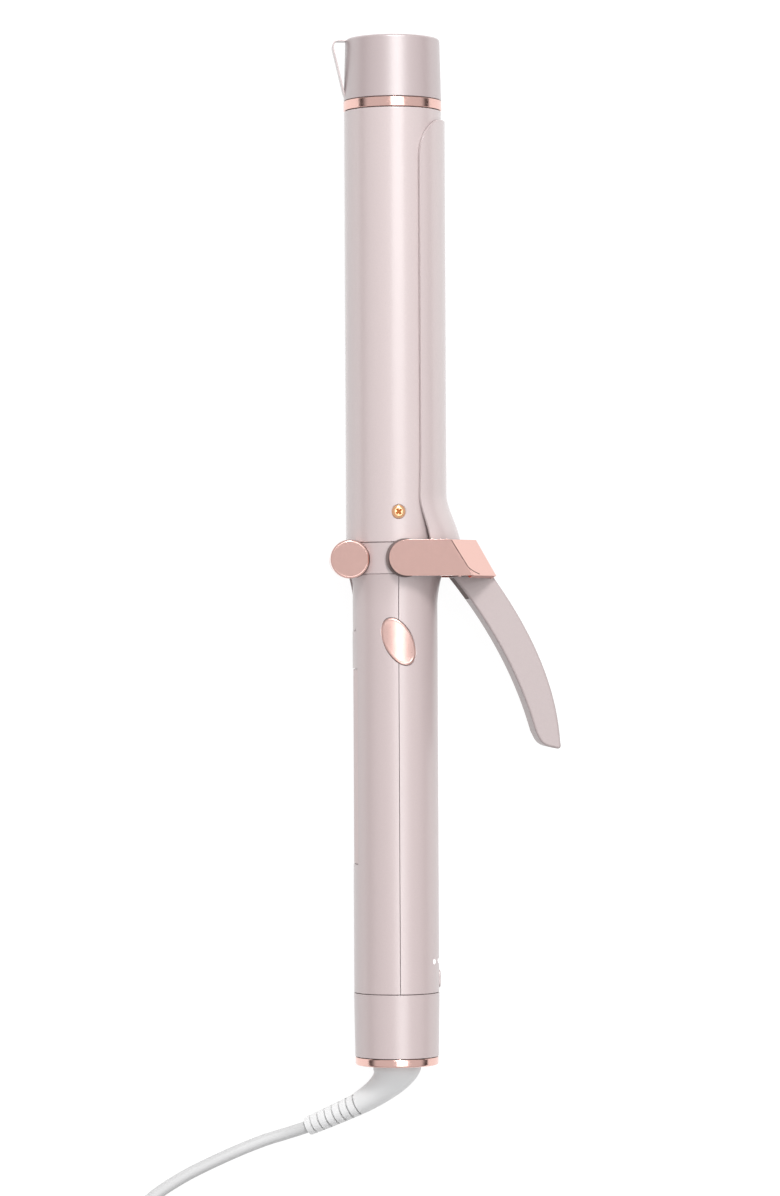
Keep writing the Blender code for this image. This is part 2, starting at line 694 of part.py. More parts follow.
def make_handle():
    """The two shells, and the screws that join them under the rating plate."""
    clamp_side = half_shell(1)
    for index, y in enumerate(SCREW_Y):
        hole = cylinder(1.6e-3, -1.0e-3, 7.0e-3, (0.0, y, 0.0), "X")
        boolean(clamp_side, as_cutter(hole, f"thread_hole_{index}"))
    for angle in LIGHT_ANGLES:
        boolean(clamp_side, light_stem(angle, 0.85e-3 + 0.25e-3, 0.02, f"light_hole_{angle}"))
    button_hole = flat_button(GAP, 0.02)
    boolean(clamp_side, as_cutter(button_hole, "button_hole"))
    boolean(clamp_side, BADGE_SEAT)
    keep(clamp_side, "handle_shell_clamp_side", PEARL)

    rear_side = half_shell(-1)
    for index, y in enumerate(SCREW_Y):
        hole = cylinder(1.6e-3, -0.02, 0.0, (0.0, y, 0.0), "X")
        boolean(rear_side, as_cutter(hole, f"shank_hole_{index}"))
        seat = cylinder(2.7e-3, -0.02, -11.2e-3, (0.0, y, 0.0), "X")
        boolean(rear_side, as_cutter(seat, f"head_seat_{index}"))
    low, high = sorted(PLATE_RECESS_Y)
    recess = curved_block(HANDLE_R - 0.9e-3, 3.0e-3, (low, high), math.pi, math.radians(24))
    boolean(rear_side, as_cutter(recess, "plate_recess"))
    leg_room = box((-0.03, -24.4e-3, -4.4e-3), (-11.2e-3, 0.0, 4.4e-3))
    boolean(rear_side, as_cutter(leg_room, "leg_recess"))
    boolean(rear_side, STAND_NOTCH)
    boolean(rear_side, DISC_ROOM)
    boolean(rear_side, BADGE_SEAT)
    keep(rear_side, "handle_shell_rear_side", PEARL)

    for name, y in zip(("handle_screw_upper", "handle_screw_lower"), SCREW_Y):
        keep(pin(2.3e-3, 1.2e-3, 1.2e-3, 18.0e-3, (-12.8e-3, y, 0.0), "X", True), name, STEEL)
    plate = curved_block(HANDLE_R - 0.75e-3, 0.6e-3, (low + GAP, high - GAP), math.pi, math.radians(22.5))
    keep(plate, "rating_plate", SATIN_GREY)


def make_badge():
    """A plain oval badge across the seam. It has no mark."""
    keep(badge_solid(0.0, 13.55e-3, 14.25e-3), "badge", ROSE_GOLD)


def badge_solid(grow, low, high):
    """The badge's oval between two heights above the axis, grown by a margin."""
    half_long, half_short, lean = 8.3e-3 + grow, 4.7e-3 + grow, math.radians(27)
    points = []
    for step in range(28):
        angle = math.tau * step / 28
        along, across = half_long * math.cos(angle), half_short * math.sin(angle)
        x = across * math.cos(lean) - along * math.sin(lean)
        y = across * math.sin(lean) + along * math.cos(lean)
        points.append((x, -27.4e-3 + y))
    return flat_outline(points, low, high)


LIGHT_ANGLES = (-33.0, -16.5, 0.0, 16.5, 33.0)


def light_stem(angle, radius, length, name):
    """A radial rod for one of the five lights."""
    stem = cylinder(radius, 10.0e-3, length, axis="Z", sides=12)
    turn = Matrix.Rotation(math.radians(90 - angle), 4, "Y")
    stem.matrix_world = Matrix.Translation(at(0.0, LIGHT_Y, 0.0)) @ turn
    return as_cutter(stem, name)


def make_light_guide():
    """One clear bar with five stems, which carries the lamps' light to the handle's surface."""
    rows_y = (LIGHT_Y - 1.4e-3, LIGHT_Y + 1.4e-3)
    guide = curved_block(9.6e-3, 1.4e-3, rows_y, 0.0, math.radians(40))
    for angle in LIGHT_ANGLES:
        stem = light_stem(angle, 0.85e-3, HANDLE_R + 0.05e-3, f"light_stem_{angle}")
        boolean(guide, stem, "UNION")
    keep(guide, "led_light_guide", CLEAR)


def flat_button(grow, high):
    """The button's rounded outline as a solid along X, from the switch out to high."""
    low = 9.3e-3 if grow == 0.0 else 5.0e-3
    half_long, half_short = 2.9e-3 + grow, 1.9e-3 + grow
    body = box((low, BUTTON_Y - half_long, -half_short), (high, BUTTON_Y + half_long, half_short))
    modifier = body.modifiers.new("Bevel", "BEVEL")
    modifier.width = 0.9e-3
    modifier.segments = 2
    return body


def make_electronics():
    """Circuit board, its parts, and the two leads that feed the heater."""
    keep(box((5.2e-3, -140.0e-3, -8.0e-3), (6.8e-3, -86.0e-3, 8.0e-3)), "circuit_board", GREEN_BOARD)
    keep(box((7.1e-3, BUTTON_Y - 1.7e-3, -1.7e-3), (8.5e-3, BUTTON_Y + 1.7e-3, 1.7e-3)),
         "button_switch", DARK_PLASTIC)
    keep(box((0.6e-3, -106.0e-3, -5.0e-3), (4.9e-3, -91.0e-3, 5.0e-3), 0.4e-3), "triac", DARK_PLASTIC)
    keep(cylinder(4.2e-3, -128.0e-3, -112.0e-3, (0.4e-3, 0.0, 0.0), "Y"), "filter_capacitor", CERAMIC)
    for name, side in (("heater_lead_front", 1), ("heater_lead_back", -1)):
        w = side * 1.1e-3
        route = [at(3.0e-3, -84.0e-3, side * 6.0e-3), at(-3.0e-3, -70.0e-3, side * 6.0e-3),
                 at(-6.4e-3, -50.0e-3, side * 5.0e-3), at(-6.4e-3, -28.0e-3, side * 2.4e-3),
                 at(-6.4e-3, -14.0e-3, w), at(-6.4e-3, 0.0, w), at(-5.4e-3, 4.5e-3, w),
                 at(-3.4e-3, 9.5e-3, w), at(-2.4e-3, 18.0e-3, w), at(-2.2e-3, 25.4e-3, w)]
        keep(wire(smooth_path(route, 6.0e-3), 0.75e-3, 1), name, LEAD_JACKET)


def make_button(pivot):
    """The power button."""
    keep(flat_button(0.0, 14.3e-3), "power_button", PEARL, pivot)


# ---------------------------------------------------------------- handle's end and cord

def make_handle_end():
    """End cap, end ring and the fixed half of the swivel's contacts."""
    high, low = CAP_Y
    top_r, low_r = CAP_R
    wall = 2.0e-3
    web_high, web_low = -155.4e-3, -157.4e-3
    inner = top_r - wall
    profile = [(top_r - 0.2e-3, high), (top_r, high - 0.4e-3), (low_r, low), (low_r - wall, low),
               (low_r - wall, web_low), (6.3e-3, web_low), (6.3e-3, web_high), (inner, web_high),
               (inner, high)]
    keep(turned(profile, closed=True), "end_cap", PEARL)
    top, bottom = END_RING_Y
    edge = 0.5e-3
    keep(turned([(END_RING_R, top), (END_RING_R, bottom + edge), (END_RING_R - edge, bottom),
                 (NECK_HOLE_R, bottom), (NECK_HOLE_R, top)], closed=True), "end_ring", ROSE_GOLD)
    holder = turned([(0.0, -145.0e-3), (11.5e-3, -145.0e-3), (11.5e-3, -155.0e-3),
                     (6.0e-3, -155.0e-3), (6.0e-3, -147.5e-3), (0.0, -147.5e-3)])
    keep(holder, "brush_holder", DARK_PLASTIC)


def boot_point(reach, y, side=0.0):
    """A point of the boot: reach is along its dip from the axis, side is across it."""
    cos, sin = math.cos(BOOT_DIP), math.sin(BOOT_DIP)
    return at(-reach * cos + side * sin, y, -reach * sin - side * cos)


# Sections of the boot: reach and y of the centre, tilt in degrees, half width
BOOT_SECTIONS = [
    (0.0, -160.9e-3, 0.0, 7.85e-3),
    (0.0, -166.6e-3, 0.0, 7.85e-3),
    (0.6e-3, -169.0e-3, 7.0, 7.1e-3),
    (2.6e-3, -171.6e-3, 17.0, 6.2e-3),
    (5.9e-3, -174.3e-3, 30.0, 5.1e-3),
    (10.2e-3, -176.9e-3, 44.0, 4.2e-3),
    (14.6e-3, -179.3e-3, 60.0, 3.65e-3),
    (22.8e-3, -183.0e-3, 67.0, 3.4e-3),
    (31.1e-3, -186.6e-3, 67.0, 3.1e-3),
]


def make_boot(pivot):
    """The strain relief that turns in the end ring, with the moving half of the contacts."""

    def build(mould):
        rings, sides = [], 20
        for reach, y, tilt, half in BOOT_SECTIONS:
            tilt = math.radians(tilt)
            loop = []
            for step in range(sides):
                angle = math.tau * step / sides
                across = half * math.cos(angle)
                place = boot_point(reach + across * math.cos(tilt), y + across * math.sin(tilt),
                                   half * math.sin(angle))
                loop.append(mould.verts.new(place))
            rings.append(loop)
        for loop, following in zip(rings, rings[1:]):
            for step in range(sides):
                after = (step + 1) % sides
                mould.faces.new((loop[step], loop[after], following[after], following[step]))
        mould.faces.new(list(reversed(rings[0])))
        mould.faces.new(rings[-1])
        bmesh.ops.recalc_face_normals(mould, faces=mould.faces)

    boot = mesh_object("cord_boot", build)
    flange = cylinder(9.6e-3, -162.6e-3, -160.4e-3, axis="Y", sides=28)
    boolean(boot, as_cutter(flange, "boot_flange"), "UNION")
    keep(boot, "cord_boot", WHITE_RUBBER, pivot)
    keep(cylinder(5.4e-3, -160.0e-3, -149.0e-3, axis="Y"), "slip_ring", COPPER, pivot)


def make_cord():
    """The cord's two free stretches and its coil, held by a tie."""
    keep(wire(smooth_path(LEAD_ROUTE, 6.0e-3), CORD_R), "cord_lead", WHITE_RUBBER)
    keep(wire(smooth_path(TAIL_ROUTE, 6.0e-3), CORD_R), "cord_tail", WHITE_RUBBER)
    half_width = 1.5 * COIL_PITCH + CORD_R
    height = (COIL_LAYERS - 1) * COIL_PITCH + 2 * CORD_R
    base = COIL_Z0 - AXIS_Z
    centre = (*COIL_CENTRE, base)
    coil = ring(COIL_R + half_width, COIL_R - half_width, 0.0, height, centre, "Z", 40)
    keep(coil, "cord_coil", WHITE_RUBBER)
    band = 0.5e-3
    low, high = COIL_R - half_width - 3 * GAP, COIL_R + half_width + GAP
    turn = Matrix.Translation((*COIL_CENTRE, 0.0)) @ Matrix.Rotation(math.radians(60), 4, "Z")
    outer = box((low - band, -4.0e-3, -AXIS_Z), (high + band, 4.0e-3, COIL_Z0 + height + GAP + band - AXIS_Z))
    inner = box((low, -5.0e-3, band - AXIS_Z), (high, 5.0e-3, COIL_Z0 + height + GAP - AXIS_Z))
    for piece in (outer, inner):
        piece.matrix_world = turn @ Matrix.Translation(piece.location)
    boolean(outer, as_cutter(inner, "tie_opening"))
    keep(outer, "cord_tie", DARK_PLASTIC)


def make_plug():
    """A plain flat plug with two blades, lying beside the coil."""
    turn = Matrix.Translation(PLUG_BACK) @ Matrix.Rotation(PLUG_TURN, 4, "Z")
    relief_end, body_end, blade_end = 12.0e-3, 38.0e-3, 55.0e-3
    bpy.ops.mesh.primitive_cube_add(size=1.0)
    body = bpy.context.object
    body.data.transform(Matrix.Diagonal((body_end - relief_end, 22.0e-3, 12.0e-3, 1.0)))
    body.data.transform(Matrix.Translation(((body_end + relief_end) / 2, 0.0, 0.0)))
    bevel = body.modifiers.new("Bevel", "BEVEL")
    bevel.width = 2.5e-3
    bevel.segments = 2
    body.matrix_world = turn
    bpy.ops.mesh.primitive_cone_add(vertices=16, radius1=3.0e-3, radius2=4.6e-3, depth=13.0e-3)
    relief = bpy.context.object
    relief.data.transform(Matrix.Translation((0.0, 0.0, 6.8e-3)))
    relief.matrix_world = turn @ TURN_TO["X"]
    boolean(body, as_cutter(relief, "plug_relief"), "UNION")
    keep(body, "plug_body", WHITE_RUBBER)
    for name, side in (("plug_blade_left", 1), ("plug_blade_right", -1)):
        bpy.ops.mesh.primitive_cube_add(size=1.0)
        blade = bpy.context.object
        length = blade_end - body_end - GAP
        blade.data.transform(Matrix.Diagonal((length, 1.5e-3, 6.3e-3, 1.0)))
        blade.data.transform(Matrix.Translation((body_end + GAP + length / 2, side * 6.35e-3, 0.0)))
        blade.matrix_world = turn
        keep(blade, name, STEEL)


# ---------------------------------------------------------------- the object

clear_scene()
PARTS = new_collection("curling_iron")
CUTTERS = new_collection("cutters")

PEARL = make_material("pearl_pink", (0.60, 0.47, 0.46), 0.35)
ROSE_GOLD = make_material("rose_gold", (0.72, 0.46, 0.40), 0.2, 1.0)
COPPER = make_material("copper", (0.80, 0.42, 0.25), 0.25, 1.0)
STEEL = make_material("steel", (0.60, 0.60, 0.62), 0.3, 1.0)
DARK_STEEL = make_material("dark_steel", (0.20, 0.18, 0.18), 0.35, 1.0)
ALUMINIUM = make_material("aluminium", (0.75, 0.75, 0.77), 0.4, 1.0)
CERAMIC = make_material("ceramic", (0.85, 0.84, 0.80), 0.6)
GLASS = make_material("sensor_glass", (0.75, 0.60, 0.45), 0.2)
DARK_PLASTIC = make_material("dark_plastic", (0.05, 0.05, 0.05), 0.5)
SATIN_GREY = make_material("satin_grey", (0.55, 0.53, 0.53), 0.4)
GREEN_BOARD = make_material("board", (0.04, 0.22, 0.10), 0.5)
LEAD_JACKET = make_material("lead_jacket", (0.70, 0.68, 0.62), 0.6)
CLEAR = make_material("clear_plastic", (0.92, 0.92, 0.92), 0.1)
WHITE_RUBBER = make_material("white_rubber", (0.80, 0.80, 0.80), 0.5)

HINGE_NOTCH = as_cutter(cylinder(BOSS_R + GAP, -0.02, 0.02, (HINGE_X, 0.0, 0.0), sides=24), "hinge_notch")
STAND_NOTCH = as_cutter(cylinder(STAND_BOSS_R + GAP, -0.02, 0.02, STAND_AXIS, sides=24), "stand_notch")
DISC_ROOM = as_cutter(cylinder(DISC_R + 0.6e-3, STAND_BOSS_W, 0.02, STAND_AXIS, sides=24), "disc_room")
BACK_DISC_ROOM = as_cutter(cylinder(BACK_DISC_R + GAP, -0.02, -STAND_BOSS_W, STAND_AXIS, sides=24),
                           "back_disc_room")
BADGE_SEAT = as_cutter(meshed(badge_solid(GAP, 13.2e-3, 0.02)), "badge_seat")
LEVER_HOLES = [
    as_cutter(cylinder(1.3e-3, 15.0e-3, 26.6e-3, (0.0, LEVER_SCREW[0], side * LEVER_SCREW[1]), "X"),
              f"lever_hole_{side}") for side in (1, -1)]

CLAMP_PIVOT = empty_at("clamp_pivot", at(HINGE_X, 0.0, 0.0))
STAND_PIVOT = empty_at("stand_pivot", at(*STAND_AXIS))
SWIVEL_PIVOT = empty_at("swivel_pivot", at(0.0, END_RING_Y[1], 0.0))
BUTTON_PIVOT = empty_at("button_pivot", at(HANDLE_R, BUTTON_Y, 0.0))

make_barrel()
make_barrel_screws()
make_heater()
make_heater_carrier()
make_tip()
make_tip_rest()
make_collar()
make_hinge_studs()
make_stand(STAND_PIVOT)
make_clamp_plate(CLAMP_PIVOT)
make_yoke(CLAMP_PIVOT)
make_lever(CLAMP_PIVOT)
make_lever_fixings(CLAMP_PIVOT)
make_handle()
make_badge()
make_light_guide()
make_electronics()
make_button(BUTTON_PIVOT)
make_handle_end()
make_boot(SWIVEL_PIVOT)
make_cord()
make_plug()
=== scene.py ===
"""Looks of the curling iron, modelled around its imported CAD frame.

The iron lies on its side on a pale table: +Y towards the cool tip, +X towards the clamp, +Z up.
Places are given as x, y and w, where w is the height above the iron's axis. All in metres.
"""

import json
from math import acos, cos, pi, radians, sin, sqrt, tan, tau

import bmesh
import bpy
from mathutils import Matrix, Vector


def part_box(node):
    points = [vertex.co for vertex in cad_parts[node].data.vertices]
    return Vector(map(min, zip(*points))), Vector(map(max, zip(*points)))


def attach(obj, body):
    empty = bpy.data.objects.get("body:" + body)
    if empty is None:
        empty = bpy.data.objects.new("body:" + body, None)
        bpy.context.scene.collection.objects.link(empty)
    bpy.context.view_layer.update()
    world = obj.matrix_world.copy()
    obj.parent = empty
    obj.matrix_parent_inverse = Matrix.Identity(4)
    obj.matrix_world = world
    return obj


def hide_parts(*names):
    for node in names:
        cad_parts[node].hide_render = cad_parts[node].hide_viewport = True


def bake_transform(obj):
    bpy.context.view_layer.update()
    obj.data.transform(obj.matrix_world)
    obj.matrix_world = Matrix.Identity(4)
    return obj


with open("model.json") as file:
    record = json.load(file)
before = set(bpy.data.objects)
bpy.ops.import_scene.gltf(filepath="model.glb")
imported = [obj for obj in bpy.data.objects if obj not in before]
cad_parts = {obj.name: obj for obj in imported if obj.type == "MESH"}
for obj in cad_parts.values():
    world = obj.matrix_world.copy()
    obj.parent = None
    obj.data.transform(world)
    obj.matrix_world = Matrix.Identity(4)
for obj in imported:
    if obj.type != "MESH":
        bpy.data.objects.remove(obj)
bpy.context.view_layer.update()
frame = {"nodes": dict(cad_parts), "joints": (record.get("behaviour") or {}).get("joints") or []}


# ---- measures from the frame

def span(node, axis):
    """Lowest and highest coordinate of a CAD node along one axis (0, 1 or 2)."""
    low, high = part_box(node)
    return low[axis], high[axis]


def middle(node, axis):
    """Middle of a CAD node along one axis."""
    low, high = span(node, axis)
    return (low + high) / 2


def half_span(node, axis):
    """Half of a CAD node's extent along one axis."""
    low, high = span(node, axis)
    return (high - low) / 2


def joint(name):
    """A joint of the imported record."""
    return next(j for j in frame["joints"] if j["name"] == name)


AXIS_Z = middle("barrel_tube", 2)
BARREL_R = half_span("barrel_tube", 2)
BARREL_Y = span("barrel_tube", 1)
RING_Y = span("tip_ring", 1)
RING_R = half_span("tip_ring", 2)
TIP_Y = span("cool_tip", 1)
COLLAR_Y = (-5.3e-3, 4.7e-3)
HANDLE_Y = span("handle_shell_rear_side", 1)
HANDLE_R = 13.9e-3
HANDLE_TOP_R = 15.5e-3
FLARE = 10.8e-3  # length of the handle's flare towards the collar
CAP_Y = span("end_cap", 1)
END_RING_Y = span("end_ring", 1)
END_RING_R = half_span("end_ring", 2)
HINGE_X = joint("clamp_hinge")["pos_m"][0]
STAND_X, STAND_Y = joint("stand_hinge")["pos_m"][:2]
STAND_AXIS = (STAND_X, STAND_Y, 0.0)
EAR_OUT = AXIS_Z - span("clamp_yoke", 2)[0]
EAR_IN = EAR_OUT - 2.0e-3
BOSS_R = 5.95e-3  # smaller than in CAD, so that the dark crescent of painted shadow shows beside the yoke's ear
STAND_BOSS_R = 5.2e-3
STAND_DISC_R = half_span("stand_disc_front", 0)
PLATE_R = 16.2e-3
PLATE_T = 0.9e-3
PLATE_Y1 = span("clamp_plate", 1)[1]
YOKE_TOP, YOKE_LOW = 5.6e-3, -6.1e-3
SEAM = 0.2e-3  # open width of the handle's seam
CORD_R = 2.0e-3
BOOT_DIP = radians(25)
BOOT_END = (31.1e-3, -186.6e-3)  # reach and y of the boot's thin end
COIL_CENTRE = (middle("cord_coil", 0), middle("cord_coil", 1))
COIL_Z0 = span("cord_coil", 2)[0]
COIL_R = 25.0e-3
COIL_PITCH = 4.1e-3
COIL_LAYERS = 4
COIL_OUTER = COIL_R + 1.5 * COIL_PITCH
COIL_INNER = COIL_R - 1.5 * COIL_PITCH
FINE_GAP = 0.09e-3  # how far a piece reaches into the CAD's clearance at a seam


def at(x, y, w):
    """A point in the world from its place beside the iron's axis."""
    return Vector((x, y, AXIS_Z + w))


# ---- camera

def aim(back):
    """The turn of a camera or light that looks away from back, with its own Y along the iron."""
    side = Vector((0.0, 1.0, 0.0)).cross(back).normalized()
    return Matrix((side, back.cross(side), back)).transposed()


def place_object(data, place, turn):
    """Put a camera or a light in the scene."""
    obj = bpy.data.objects.new(data.name, data)
    bpy.context.scene.collection.objects.link(obj)
    obj.matrix_world = Matrix.Translation(place) @ turn.to_4x4()
    return obj


def make_camera():
    """A long lens above the iron, leaning a little towards its rear side and its cord."""
    target = at(-1.6e-3, -13.1e-3, 0.0)
    distance, lean, pitch, roll = 1.456, radians(4.9), radians(0.665), radians(0.28)
    back = Vector((-sin(lean) * cos(pitch), -sin(pitch), cos(lean) * cos(pitch)))
    data = bpy.data.cameras.new("camera")
    data.sensor_width = 36.0
    data.lens = 133.95
    data.clip_start = 0.01
    data.clip_end = 20.0
    turn = aim(back) @ Matrix.Rotation(-roll, 3, "Z")
    bpy.context.scene.camera = place_object(data, target + back * distance, turn)


# ---- shape tools

def curve_through(points, steps):
    """A smooth curve through the given points, in a number of steps between each two."""
    knots = [2 * points[0] - points[1]] + points + [2 * points[-1] - points[-2]]
    fine = []
    for a, b, c, d in zip(knots, knots[1:], knots[2:], knots[3:]):
        for step in range(steps):
            t = step / steps
            fine.append(0.5 * (2 * b + (c - a) * t + (2 * a - 5 * b + 4 * c - d) * t ** 2
                               + (3 * b - a - 3 * c + d) * t ** 3))
    return fine + [points[-1]]


def smooth_path(points, spacing):
    """Points a steady distance apart on a smooth curve through the given points."""
    fine = curve_through([Vector(point) for point in points], 12)
    total = sum((b - a).length for a, b in zip(fine, fine[1:]))
    count = max(2, round(total / spacing))
    path, walked, target = [fine[0]], 0.0, total / count
    for a, b in zip(fine, fine[1:]):
        reach = (b - a).length
        while walked + reach >= target - 1e-9 and len(path) < count:
            path.append(a.lerp(b, (target - walked) / reach))
            target += total / count
        walked += reach
    path.append(fine[-1])
    return path


def fillet(points, radii, closed=True, steps=4):
    """A 2-D outline with each corner rounded by its radius; a single radius serves all corners."""
    if not isinstance(radii, (list, tuple)):
        radii = [radii] * len(points)
    result, count = [], len(points)
    for index, (point, radius) in enumerate(zip(points, radii)):
        here = Vector(point)
        if radius == 0.0 or (not closed and index in (0, count - 1)):
            result.append(tuple(here))
            continue
        before = Vector(points[index - 1]) - here
        after = Vector(points[(index + 1) % count]) - here
        half = before.angle(after) / 2
        reach = min(radius / tan(half), 0.49 * before.length, 0.49 * after.length)
        start, end = here + before.normalized() * reach, here + after.normalized() * reach
        bow = reach * tan(half)
        centre = here + (before.normalized() + after.normalized()).normalized() * (bow / sin(half))
        first, last = start - centre, end - centre
        turn = first.angle_signed(last)
        for step in range(steps + 1):
            arm = first.copy()
            arm.rotate(Matrix.Rotation(-turn * step / steps, 2))
            result.append(tuple(centre + arm))
    return result


def rounded_rectangle(half_a, half_b, radius, steps):
    """The outline of a rectangle about the origin, with round corners."""
    corners = [(half_a, half_b), (half_a, -half_b), (-half_a, -half_b), (-half_a, half_b)]
    return fillet(corners, radius, steps=steps)


def bezier(start, control, end, count):
    """Points on a quadratic curve, both ends among them."""
    points = []
    for step in range(count + 1):
        t = step / count
        points.append(tuple((1 - t) ** 2 * a + 2 * t * (1 - t) * b + t ** 2 * c
                            for a, b, c in zip(start, control, end)))
    return points


def wall_arc(radius, y, half_angle, steps, side):
    """Points of an arc about the iron's axis, on the clamp's side (1) or the rear side (-1)."""
    angles = [half_angle * (2 * step / steps - 1) for step in range(steps + 1)]
    return [at(side * radius * cos(angle), y, radius * sin(angle)) for angle in angles]


def mesh_object(name, build):
    """An object whose mesh the function build fills, with its faces pointing out."""
    mesh = bpy.data.meshes.new(name)
    mould = bmesh.new()
    build(mould)
    bmesh.ops.recalc_face_normals(mould, faces=mould.faces)
    mould.to_mesh(mesh)
    mould.free()
    obj = bpy.data.objects.new(name, mesh)
    bpy.context.scene.collection.objects.link(obj)
    return obj


TURN_TO = {
    "X": Matrix.Rotation(radians(90), 4, "Y"),
    "Y": Matrix.Rotation(radians(-90), 4, "X"),
    "Z": Matrix.Identity(4),
    "-Z": Matrix.Rotation(radians(180), 4, "X"),
}


def lathe(profile, axis="Y", centre=(0.0, 0.0, 0.0), closed=True, sides=128):
    """Turn a profile of (radius, height) points about an axis through centre."""

    def build(mould):
        rings = []
        for radius, height in profile:
            if radius < 1e-7:
                rings.append([mould.verts.new((0.0, 0.0, height))])
                continue
            rings.append([mould.verts.new((radius * cos(tau * s / sides),
                                           radius * sin(tau * s / sides), height))
                          for s in range(sides)])
        pairs = list(zip(rings, rings[1:]))
        if closed:
            pairs.append((rings[-1], rings[0]))
        for first, second in pairs:
            if len(first) == 1 and len(second) == 1:
                continue
            for s in range(sides):
                t = (s + 1) % sides
                corners = [first[s % len(first)], first[t % len(first)],
                           second[t % len(second)], second[s % len(second)]]
                mould.faces.new(list(dict.fromkeys(corners)))

    obj = mesh_object("lathe", build)
    obj.data.transform(Matrix.Translation(at(*centre)) @ TURN_TO[axis])
    return obj


def turned(profile, radii, axis="Y", centre=(0.0, 0.0, 0.0), sides=128, steps=4):
    """A solid turned from a profile that starts and ends on its axis, with its corners rounded."""
    return lathe(fillet(profile, radii, closed=False, steps=steps), axis, centre, closed=False, sides=sides)


def prism(outline, w_low, w_high):
    """A flat outline of (x, y) points made solid between two heights."""
    return loft([[at(x, y, w) for x, y in outline] for w in (w_low, w_high)])


def box(low, high):
    """A box between two corners given beside the iron's axis."""
    outline = [(low[0], low[1]), (high[0], low[1]), (high[0], high[1]), (low[0], high[1])]
    return prism(outline, low[2], high[2])


def rod(radius, low, high, centre=(0.0, 0.0, 0.0), axis="Z", sides=48):
    """A plain cylinder from low to high along an axis through centre."""
    profile = [(0.0, high), (radius, high), (radius, low), (0.0, low)]
    return lathe(profile, axis, centre, closed=False, sides=sides)


def sheet(rows):
    """An open surface through rows of points."""

    def build(mould):
        grid = [[mould.verts.new(point) for point in row] for row in rows]
        for row, following in zip(grid, grid[1:]):
            for a, b, c, d in zip(row, row[1:], following[1:], following):
                mould.faces.new((a, b, c, d))

    return mesh_object("sheet", build)


def loft(rings):
    """A closed solid through rings of points that have the same count."""

    def build(mould):
        loops = [[mould.verts.new(point) for point in ring] for ring in rings]
        for loop, following in zip(loops, loops[1:]):
            for s in range(len(loop)):
                t = (s + 1) % len(loop)
                mould.faces.new((loop[s], loop[t], following[t], following[s]))
        mould.faces.new(loops[0])
        mould.faces.new(loops[-1])

    return mesh_object("loft", build)


def tube(path, radius, sides=20):
    """A round solid along a path, with frames that don't twist."""
    rings, across = [], None
    for index, point in enumerate(path):
        ahead = path[min(index + 1, len(path) - 1)] - path[max(index - 1, 0)]
        ahead.normalize()
        if across is None:
            across = ahead.orthogonal().normalized()
        across = (across - ahead * across.dot(ahead)).normalized()
        other = ahead.cross(across)
        rings.append([point + (across * cos(tau * s / sides)
                               + other * sin(tau * s / sides)) * radius
                      for s in range(sides)])
    return loft(rings)


def move(obj, matrix):
    """Bring a shape that was made about the iron's axis to the place and turn of a matrix."""
    obj.data.transform(matrix @ Matrix.Translation(-at(0.0, 0.0, 0.0)))
    return obj


def apply_all(obj):
    """Turn an object's modifiers into plain mesh."""
    bpy.context.view_layer.update()
    graph = bpy.context.evaluated_depsgraph_get()
    mesh = bpy.data.meshes.new_from_object(obj.evaluated_get(graph))
    obj.modifiers.clear()
    obj.data = mesh
    return obj


def carve(obj, *others, operation="DIFFERENCE"):
    """Cut or join a solid with others, which are used up."""
    for other in others:
        modifier = obj.modifiers.new("cut", "BOOLEAN")
        modifier.operation = operation
        modifier.solver = "EXACT"
        modifier.object = other
        apply_all(obj)
        bpy.data.objects.remove(other, do_unlink=True)
    return obj


def thicken(obj, thickness, offset):
    """Give an open surface its thickness."""
    modifier = obj.modifiers.new("thickness", "SOLIDIFY")
    modifier.thickness = thickness
    modifier.offset = offset
    modifier.use_even_offset = True
    return apply_all(obj)


def soften(obj, width, segments=3, angle=40.0):
    """Round the edges that are sharper than an angle."""
    modifier = obj.modifiers.new("edges", "BEVEL")
    modifier.width = width
    modifier.segments = segments
    modifier.limit_method = "ANGLE"
    modifier.angle_limit = radians(angle)
    modifier.harden_normals = False
    return apply_all(obj)


def present(obj, name, look, nodes, body="root", smooth=32.0):
    """Name a finished piece, give it its look, and let it stand for its CAD nodes and ride on its body."""
    obj.name = name
    obj.data.name = name
    obj.data.materials.clear()
    obj.data.materials.append(LOOKS[look])
    for polygon in obj.data.polygons:
        polygon.material_index = 0
    obj.data.shade_smooth()
    obj.data.set_sharp_from_angle(angle=radians(smooth))
    weighted = obj.modifiers.new("normals", "WEIGHTED_NORMAL")
    weighted.keep_sharp = True
    if body:
        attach(obj, body)
    if nodes:
        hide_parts(*([nodes] if isinstance(nodes, str) else nodes))


# ---- materials

WHITE = (1.0, 1.0, 1.0, 1.0)
NOISE_SPREAD = (0.3, 0.7)  # the noise values that reach the two ends of a range


def new_material(name, colour, roughness, metallic=0.0, **sockets):
    """A Principled material with its even values set straight on the shader."""
    material = bpy.data.materials.new(name)
    material.use_nodes = True
    set_inputs(material.node_tree.nodes["Principled BSDF"], Base_Color=(*colour, 1.0), Roughness=roughness,
               Metallic=metallic, **sockets)
    return material


def set_inputs(node, **sockets):
    """Set a node's inputs; an underscore stands for a space in their names."""
    for socket, value in sockets.items():
        node.inputs[socket.replace("_", " ")].default_value = value


def feed_shader(material, output, socket):
    """Wire an output to a socket of the material's shader."""
    shader = material.node_tree.nodes["Principled BSDF"]
    material.node_tree.links.new(output, shader.inputs[socket])


